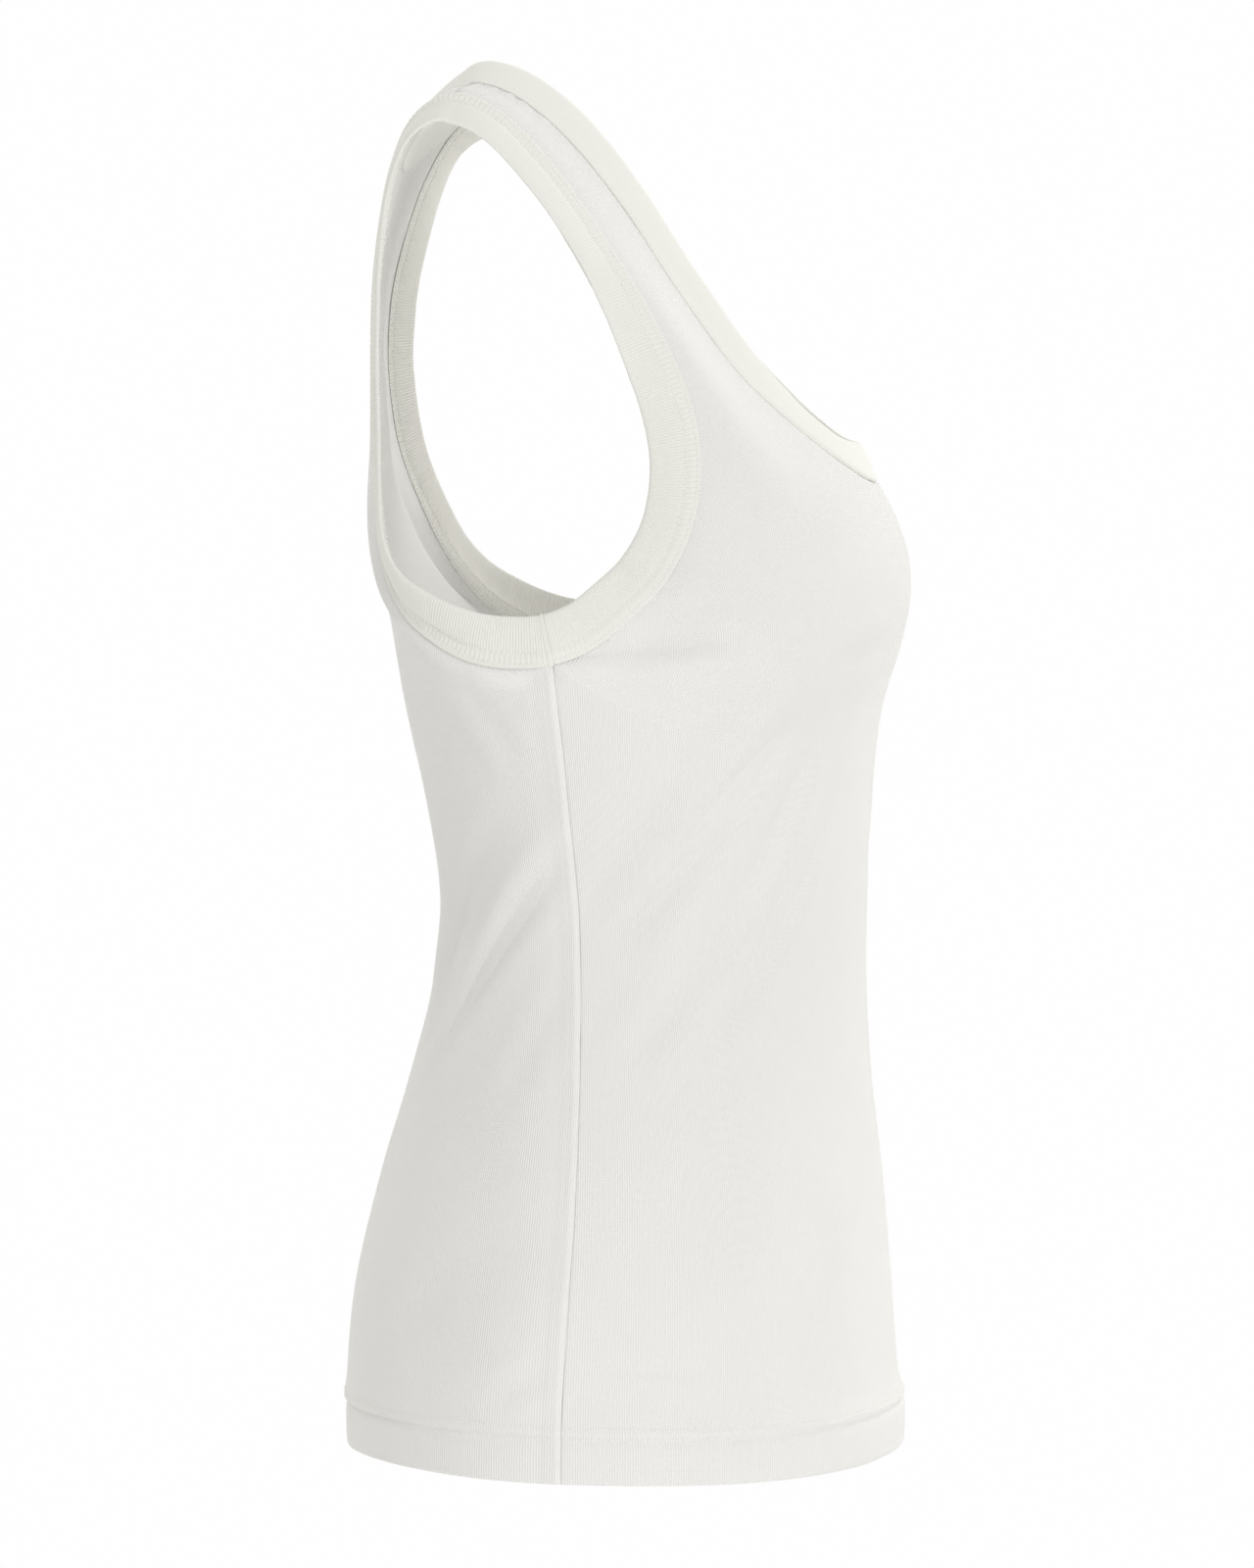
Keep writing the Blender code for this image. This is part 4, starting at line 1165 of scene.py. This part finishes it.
def studio_floor(settings):
    """A round floor of pale paper below the top."""
    mesh = bmesh.new()
    drop = -SHOULDER_HEIGHT * MILLIMETRE - settings.floor_drop
    bmesh.ops.create_circle(mesh, cap_ends=True, segments=96, radius=FLOOR_RADIUS)
    bmesh.ops.translate(mesh, verts=mesh.verts[:], vec=(0.0, 0.0, drop))
    bmesh.ops.recalc_face_normals(mesh, faces=mesh.faces[:])
    if mesh.faces[:][0].normal.z < 0.0:
        bmesh.ops.reverse_faces(mesh, faces=mesh.faces[:])
    material, _, shader = new_finish("studio_paper", 0.9, 0.5)
    shader.inputs["Base Color"].default_value = settings.floor_colour
    floor = mesh_object("studio_floor", mesh, material)


def turn_towards(item, target):
    item.rotation_euler = (target - item.location).to_track_quat("-Z", "Y").to_euler()


def studio_light(name, power, at, size, tint):
    """A large square light that faces the top."""
    data = bpy.data.lights.new(name, "AREA")
    data.shape = "SQUARE"
    data.size = size
    data.energy = power
    data.color = tint
    light = add_object(name, data)
    light.location = at
    turn_towards(light, AIM)


def studio_world(scene, settings):
    """A white surround: bright as the eye sees it, softer in the light it gives."""
    world = bpy.data.worlds.new("studio_surround")
    world.use_nodes = True
    tree = world.node_tree
    sight = tree.nodes.new("ShaderNodeLightPath")
    given = (*(channel * settings.surround for channel in SURROUND_TINT), 1.0)
    seen = blend_colours(tree, sight.outputs["Is Camera Ray"], given, SEEN_SURROUND)
    tree.links.new(seen, tree.nodes["Background"].inputs["Color"])
    scene.world = world
    scene.view_settings.view_transform = "Standard"


def studio_camera(scene):
    """A long lens at the height of the chest, a little round towards the front."""
    data = bpy.data.cameras.new("camera")
    data.lens = CAMERA_LENS
    data.sensor_width = SENSOR_WIDTH
    camera = add_object("camera", data)
    camera.location = CAMERA_PLACE
    turn_towards(camera, CAMERA_TARGET)
    scene.camera = camera


class ClothSettings(bpy.types.PropertyGroup):
    """Knit, thread and colours of the top."""

    cloth_colour: FloatVectorProperty(
        name="Cloth colour", description="Colour of the rib knit", subtype="COLOR", size=4,
        min=0.0, max=1.0, default=(0.967, 0.957, 0.945, 1.0))
    binding_colour: FloatVectorProperty(
        name="Binding colour", description="Colour of the folded bindings", subtype="COLOR",
        size=4, min=0.0, max=1.0, default=(0.912, 0.907, 0.864, 1.0))
    thread_colour: FloatVectorProperty(
        name="Thread colour", description="Colour of the sewing thread", subtype="COLOR",
        size=4, min=0.0, max=1.0, default=(0.95, 0.945, 0.915, 1.0))
    rib_pitch: FloatProperty(
        name="Rib pitch", description="Distance between the fine ribs of the cloth",
        unit="LENGTH", default=1.0 * MILLIMETRE, min=0.0005, max=0.01)
    binding_rib_pitch: FloatProperty(
        name="Binding rib pitch", description="Distance between the ribs of the bindings",
        unit="LENGTH", default=1.4 * MILLIMETRE, min=0.0005, max=0.01)
    binding_rib_depth: FloatProperty(
        name="Binding rib depth", description="How far a binding's ribs stand",
        unit="LENGTH", default=0.26 * MILLIMETRE, min=0.0, max=0.002)
    stitch_length: FloatProperty(
        name="Stitch length", description="Length of one stitch of the sewing",
        unit="LENGTH", default=2.4 * MILLIMETRE, min=0.001, max=0.01)
    thread_radius: FloatProperty(
        name="Thread radius", description="Half the thickness of the thread",
        unit="LENGTH", default=0.24 * MILLIMETRE, min=0.0001, max=0.001)


class StudioSettings(bpy.types.PropertyGroup):
    """Floor, background and lights."""

    floor_colour: FloatVectorProperty(
        name="Floor colour", description="Colour of the studio floor", subtype="COLOR",
        size=4, min=0.0, max=1.0, default=(0.9, 0.9, 0.9, 1.0))
    floor_drop: FloatProperty(
        name="Floor drop", description="How far the floor lies below the hem",
        unit="LENGTH", default=0.5, min=0.0, max=2.0)
    key_power: FloatProperty(
        name="Key light", description="Strength of the large soft light, in watts",
        default=43.0, min=0.0, max=1000.0)
    fill_power: FloatProperty(
        name="Fill lights", description="Strength of the lights on the far side, in watts",
        default=70.0, min=0.0, max=1000.0)
    surround: FloatProperty(
        name="Surround", description="Brightness of the white studio round the top",
        default=0.62, min=0.0, max=2.0)


def new_group(name, inputs, outputs):
    """A node group with its sockets, and its two ends."""
    group = bpy.data.node_groups.new(name, "ShaderNodeTree")
    for label, kind, default in inputs:
        socket = group.interface.new_socket(name=label, in_out="INPUT", socket_type=kind)
        if default is not None:
            socket.default_value = default
    for label, kind in outputs:
        group.interface.new_socket(name=label, in_out="OUTPUT", socket_type=kind)
    start = group.nodes.new("NodeGroupInput")
    end = group.nodes.new("NodeGroupOutput")
    return group, start, end


def maths(group, operation, one, two=None):
    """A Math node; each operand is a socket or a number."""
    node = group.nodes.new("ShaderNodeMath")
    node.operation = operation
    for index, value in enumerate((one, two)):
        if isinstance(value, (int, float)):
            node.inputs[index].default_value = value
        elif value is not None:
            group.links.new(value, node.inputs[index])
    return node.outputs[0]


def spots(group, where, scale, detail):
    """Soft noise over a socket's places, between 0 and 1."""
    node = group.nodes.new("ShaderNodeTexNoise")
    node.inputs["Scale"].default_value = scale
    node.inputs["Detail"].default_value = detail
    group.links.new(where, node.inputs["Vector"])
    return node.outputs["Fac"]


def wave_of(group, operation, turns):
    """A sine or cosine of a number of turns, brought between 0 and 1."""
    wave = maths(group, operation, maths(group, "MULTIPLY", turns, 2.0 * math.pi))
    return maths(group, "MULTIPLY", maths(group, "ADD", wave, 1.0), 0.5)


def rib_group():
    """Fine vertical ribs with their rows of loops, from the flat-cut place on the cloth."""
    group, start, end = new_group(
        "rib_knit_relief",
        (("Place", "NodeSocketVector", None), ("Pitch", "NodeSocketFloat", 0.001),
         ("Loop", "NodeSocketFloat", 0.0013), ("Uneven", "NodeSocketFloat", 0.1)),
        (("Height", "NodeSocketFloat"), ("Painted Shade", "NodeSocketFloat")))
    split = group.nodes.new("ShaderNodeSeparateXYZ")
    group.links.new(start.outputs["Place"], split.inputs[0])
    wander = spots(group, start.outputs["Place"], 90.0, 1.0)
    shift = maths(group, "MULTIPLY", maths(group, "SUBTRACT", wander, 0.5),
                  start.outputs["Uneven"])
    turns = maths(group, "ADD", maths(group, "DIVIDE", split.outputs["X"],
                                      start.outputs["Pitch"]), shift)
    rib = wave_of(group, "COSINE", turns)
    rows = maths(group, "DIVIDE", split.outputs["Y"], start.outputs["Loop"])
    slant = maths(group, "MULTIPLY", maths(group, "ABSOLUTE", maths(
        group, "SUBTRACT", maths(group, "FRACT", turns), 0.5)), LOOP_SLANT)
    loop = wave_of(group, "SINE", maths(group, "ADD", rows, slant))
    rounded = maths(group, "POWER", rib, RIB_ROUNDNESS)
    height = maths(group, "ADD", maths(group, "MULTIPLY", rounded, 1.0 - LOOP_RISE),
                   maths(group, "MULTIPLY", maths(group, "MULTIPLY", rib, loop), LOOP_RISE))
    group.links.new(height, end.inputs["Height"])
    # the share of painted shade, most between the ribs
    group.links.new(maths(group, "SUBTRACT", 1.0, rib), end.inputs["Painted Shade"])
    return group


def cotton_group():
    """The uneven look of washed cotton: a soft mottle over the piece, and fuzz."""
    group, start, end = new_group(
        "cotton_mottle", (("Place", "NodeSocketVector", None),),
        (("Mottle", "NodeSocketFloat"), ("Fuzz", "NodeSocketFloat")))
    for label, scale, detail in (("Mottle", 14.0, 3.0), ("Fuzz", 1900.0, 2.0)):
        group.links.new(spots(group, start.outputs["Place"], scale, detail), end.inputs[label])
    return group


def blend_colours(tree, share, one, two):
    """A mix of two colours; each is a socket or a colour."""
    mix = tree.nodes.new("ShaderNodeMix")
    mix.data_type = "RGBA"
    tree.links.new(share, mix.inputs["Factor"])
    for socket, value in ((mix.inputs[6], one), (mix.inputs[7], two)):
        if isinstance(value, bpy.types.NodeSocket):
            tree.links.new(value, socket)
        else:
            socket.default_value = value
    return mix.outputs[2]


def shade_of(colour, level, warmth=0.0):
    """A colour darkened to a level, a little warmer or cooler."""
    red, green, blue, alpha = colour
    return (red * level, green * level, blue * level * (1.0 - warmth), alpha)


def new_finish(name, roughness, shine):
    """A new material, its tree and its shader."""
    material = bpy.data.materials.new(name)
    material.use_nodes = True
    tree = material.node_tree
    shader = tree.nodes["Principled BSDF"]
    shader.inputs["Roughness"].default_value = roughness
    shader.inputs["Specular IOR Level"].default_value = shine
    return material, tree, shader


def emboss(tree, shader, height, distance):
    """Let a height, times a distance in metres, stand out of a finish."""
    bump = tree.nodes.new("ShaderNodeBump")
    bump.inputs["Distance"].default_value = distance
    tree.links.new(height, bump.inputs["Height"])
    tree.links.new(bump.outputs["Normal"], shader.inputs["Normal"])


def knit_cloth(name, colour, pitch, relief, uneven, loop, shade):
    """Matte cotton knit: ribs and loops in relief, with painted shade darkening the colour between
    the ribs.

    pitch, relief and loop are the width of a rib, its height and the length of a loop, in
    metres; uneven and shade are how far ribs wander and how dark the painted shade between them is.
    """
    material, tree, shader = new_finish(name, 0.92, 0.2)
    shader.inputs["Sheen Weight"].default_value = 0.15
    shader.inputs["Sheen Roughness"].default_value = 0.6
    cut = tree.nodes.new("ShaderNodeUVMap")
    cut.uv_map = "cut"
    body = tree.nodes.new("ShaderNodeTexCoord")
    ribs = tree.nodes.new("ShaderNodeGroup")
    ribs.node_tree = bpy.data.node_groups["rib_knit_relief"]
    ribs.inputs["Pitch"].default_value = pitch
    ribs.inputs["Uneven"].default_value = uneven
    ribs.inputs["Loop"].default_value = loop
    tree.links.new(cut.outputs["UV"], ribs.inputs["Place"])
    cotton = tree.nodes.new("ShaderNodeGroup")
    cotton.node_tree = bpy.data.node_groups["cotton_mottle"]
    tree.links.new(body.outputs["Object"], cotton.inputs["Place"])
    mottled = blend_colours(tree, cotton.outputs["Mottle"], shade_of(colour, 0.97, 0.01),
                            shade_of(colour, 1.01))
    # painted shade: between the ribs the colour is darkened and a little warmed, where their shade
    # falls
    painted_valley_shade = maths(tree, "MULTIPLY", ribs.outputs["Painted Shade"], shade)
    tree.links.new(blend_colours(tree, painted_valley_shade, mottled, shade_of(colour, 0.86, 0.02)),
                   shader.inputs["Base Color"])
    fuzz = maths(tree, "MULTIPLY", cotton.outputs["Fuzz"], FUZZ)
    emboss(tree, shader, maths(tree, "ADD", ribs.outputs["Height"], fuzz), relief)
    return material


def thread_cotton(name, colour):
    """Sewing thread: cotton with its twist showing as fine slanting lines."""
    material, tree, shader = new_finish(name, 0.8, 0.3)
    body = tree.nodes.new("ShaderNodeTexCoord")
    twist = spots(tree, body.outputs["Object"], 2600.0, 2.0)
    tree.links.new(blend_colours(tree, twist, shade_of(colour, 0.9, 0.02),
                                 shade_of(colour, 1.05)), shader.inputs["Base Color"])
    emboss(tree, shader, twist, 0.00005)
    return material


def finish_named(name):
    """A finish of the top, made the first time a piece asks for it."""
    if name in bpy.data.materials:
        return bpy.data.materials[name]
    settings = bpy.context.scene.top_cloth
    if "rib_knit_relief" not in bpy.data.node_groups:
        rib_group()
        cotton_group()
    if name == "sewing_thread":
        return thread_cotton(name, settings.thread_colour)
    looks = {
        "cotton_rib": (settings.cloth_colour, settings.rib_pitch, *CLOTH_KNIT),
        "cotton_binding": (settings.binding_colour, settings.binding_rib_pitch, *BINDING_KNIT),
        "cotton_band": (settings.binding_colour, settings.rib_pitch, *BAND_KNIT),
    }
    return knit_cloth(name, *looks[name])


class TOP_OT_front(bpy.types.Operator):
    """Make the front from a fine shell of cloth on its cut"""

    bl_idname = "tank_top.front"
    bl_label = "Front"

    def execute(self, context):
        mesh = panel_cloth(FRONT, -1.0, FRONT_SEAM_RELIEF)
        piece = knit_object("front_cloth", mesh, "cotton_rib", "front_panel")
        return {"FINISHED"}


class TOP_OT_back(bpy.types.Operator):
    """Make the back from a fine shell of cloth on its cut"""

    bl_idname = "tank_top.back"
    bl_label = "Back"

    def execute(self, context):
        mesh = panel_cloth(BACK, 1.0, BACK_SEAM_RELIEF)
        piece = knit_object("back_cloth", mesh, "cotton_rib", "back_panel")
        return {"FINISHED"}


class TOP_OT_armhole_bindings(bpy.types.Operator):
    """Make the ribbed bindings round both armholes"""

    bl_idname = "tank_top.armhole_bindings"
    bl_label = "Armhole bindings"

    def execute(self, context):
        settings = context.scene.top_cloth
        pitch = settings.binding_rib_pitch / MILLIMETRE
        depth = settings.binding_rib_depth / MILLIMETRE
        for side, name in enumerate(("right", "left")):
            samples = armhole_run(side)
            ribs = round(around(samples, ROUGH_STATIONS)[1] / pitch)
            ring, total = around(samples, ribs * RIB_STATIONS)
            mesh, layers = binding_strip(ring, ribs * pitch, ARM_SECTION, BINDING_WIDTH,
                                         name == "right")
            raise_ribs(mesh, layers, ribs * pitch, pitch, depth, True)
            piece = knit_object(f"armhole_rib_{name}", mesh, "cotton_binding",
                                f"armhole_binding_{name}")
        return {"FINISHED"}


class TOP_OT_neck_binding(bpy.types.Operator):
    """Make the smooth folded binding round the neck"""

    bl_idname = "tank_top.neck_binding"
    bl_label = "Neck binding"

    def execute(self, context):
        samples = neck_run()
        stations = round(around(samples, ROUGH_STATIONS)[1] / NECK_SPACING)
        ring, total = around(samples, stations)
        mesh, layers = binding_strip(ring, total, NECK_SECTION, NECK_BINDING_WIDTH, False)
        raise_ribs(mesh, layers, total, 1.0, 0.0, False)
        piece = knit_object("neck_rib", mesh, "cotton_band", "neck_binding")
        return {"FINISHED"}


class TOP_OT_seam_allowances(bpy.types.Operator):
    """Make the overlocked seam allowances inside the side and shoulder seams"""

    bl_idname = "tank_top.seam_allowances"
    bl_label = "Seam allowances"

    def execute(self, context):
        mesh = bmesh.new()
        width = mesh.verts.layers.float.new("width")
        length = mesh.verts.layers.float.new("length")
        for side in (OWN_SIDE, OTHER_SIDE):
            for frames in (side_seam_frames(), shoulder_seam_frames()):
                allowance_strip(mesh, frames, side, width, length)
        bmesh.ops.recalc_face_normals(mesh, faces=mesh.faces[:])
        weave_map(mesh, width, length)
        knit_object("seam_allowances", mesh, "cotton_rib")
        return {"FINISHED"}


class TOP_OT_stitching(bpy.types.Operator):
    """Sew the hem and the armhole bindings"""

    bl_idname = "tank_top.stitching"
    bl_label = "Stitching"

    def execute(self, context):
        settings = context.scene.top_cloth
        stitch, radius = settings.stitch_length, settings.thread_radius
        mesh = bmesh.new()
        front, back = Relief(FRONT, FRONT_SEAM_RELIEF), Relief(BACK, BACK_SEAM_RELIEF)
        for height in HEM_STITCH_ROWS:
            path = []
            for here, outward in hem_path(height):
                relief = front if is_front(here) else back
                here = here + outward * relief.offset(here)
                path.append(placed_pair(here, here + outward))
            path.append(path[0])
            thread_row(mesh, path, stitch, radius, HEM_THREAD_SUNK)
        knit_object("hem_stitching", mesh, "sewing_thread")
        for number, (name, side) in enumerate((("right", OTHER_SIDE), ("left", OWN_SIDE))):
            mesh = bmesh.new()
            ring, _ = around(armhole_run(number), BINDING_PATH_STEPS)
            for row in ARM_STITCH_ROWS:
                for lift, rise in ((read_table(ARM_OUTER, row)[0], 1.0), (INNER_FACE, -1.0)):
                    path = []
                    for station in ring + ring[:1]:
                        ends = (strip_place(station, row, lift + step, BINDING_WIDTH) * side
                                for step in (0.0, rise))
                        path.append(placed_pair(*ends))
                    thread_row(mesh, path, stitch, radius, ARM_THREAD_SUNK)
            knit_object(f"armhole_stitching_{name}", mesh, "sewing_thread")
        return {"FINISHED"}


class TOP_OT_studio(bpy.types.Operator):
    """Set up the pale floor, the soft lights and the camera"""

    bl_idname = "tank_top.studio"
    bl_label = "Studio"

    def execute(self, context):
        settings = context.scene.top_studio
        studio_floor(settings)
        studio_light("key_light", settings.key_power, (-3.5, -1.5, 0.7), 2.2, KEY_TINT)
        studio_light("front_fill", settings.fill_power, (2.7, -2.0, 1.7), 2.4, FILL_TINT)
        studio_light("back_fill", settings.fill_power * BACK_FILL_SHARE, (2.8, 1.6, 1.4), 2.4,
                     FILL_TINT)
        studio_world(context.scene, settings)
        studio_camera(context.scene)
        return {"FINISHED"}


class TOP_PT_panel(bpy.types.Panel):
    """The top's sizes and colours, and the steps that make it"""

    bl_idname = "TOP_PT_panel"
    bl_label = "Tank top"
    bl_space_type = "VIEW_3D"
    bl_region_type = "UI"
    bl_category = "Tank top"

    def draw(self, context):
        layout = self.layout
        for settings in (context.scene.top_cloth, context.scene.top_studio):
            for name in settings.bl_rna.properties.keys():
                if name not in ("rna_type", "name"):
                    layout.prop(settings, name)
            layout.separator()
        for operator in OPERATORS:
            layout.operator(operator.bl_idname)


OPERATORS = (TOP_OT_front, TOP_OT_back, TOP_OT_armhole_bindings, TOP_OT_neck_binding,
             TOP_OT_seam_allowances, TOP_OT_stitching, TOP_OT_studio)
SETTINGS = (ClothSettings, StudioSettings)


def register():
    for item in (*SETTINGS, *OPERATORS, TOP_PT_panel):
        bpy.utils.register_class(item)
    bpy.types.Scene.top_cloth = PointerProperty(type=ClothSettings)
    bpy.types.Scene.top_studio = PointerProperty(type=StudioSettings)


def unregister():
    del bpy.types.Scene.top_studio
    del bpy.types.Scene.top_cloth
    for item in reversed((*SETTINGS, *OPERATORS, TOP_PT_panel)):
        bpy.utils.unregister_class(item)


def main():
    register()
    bpy.ops.tank_top.front()
    bpy.ops.tank_top.back()
    bpy.ops.tank_top.armhole_bindings()
    bpy.ops.tank_top.neck_binding()
    bpy.ops.tank_top.seam_allowances()
    bpy.ops.tank_top.stitching()
    bpy.ops.tank_top.studio()


if __name__ == "__main__":
    main()
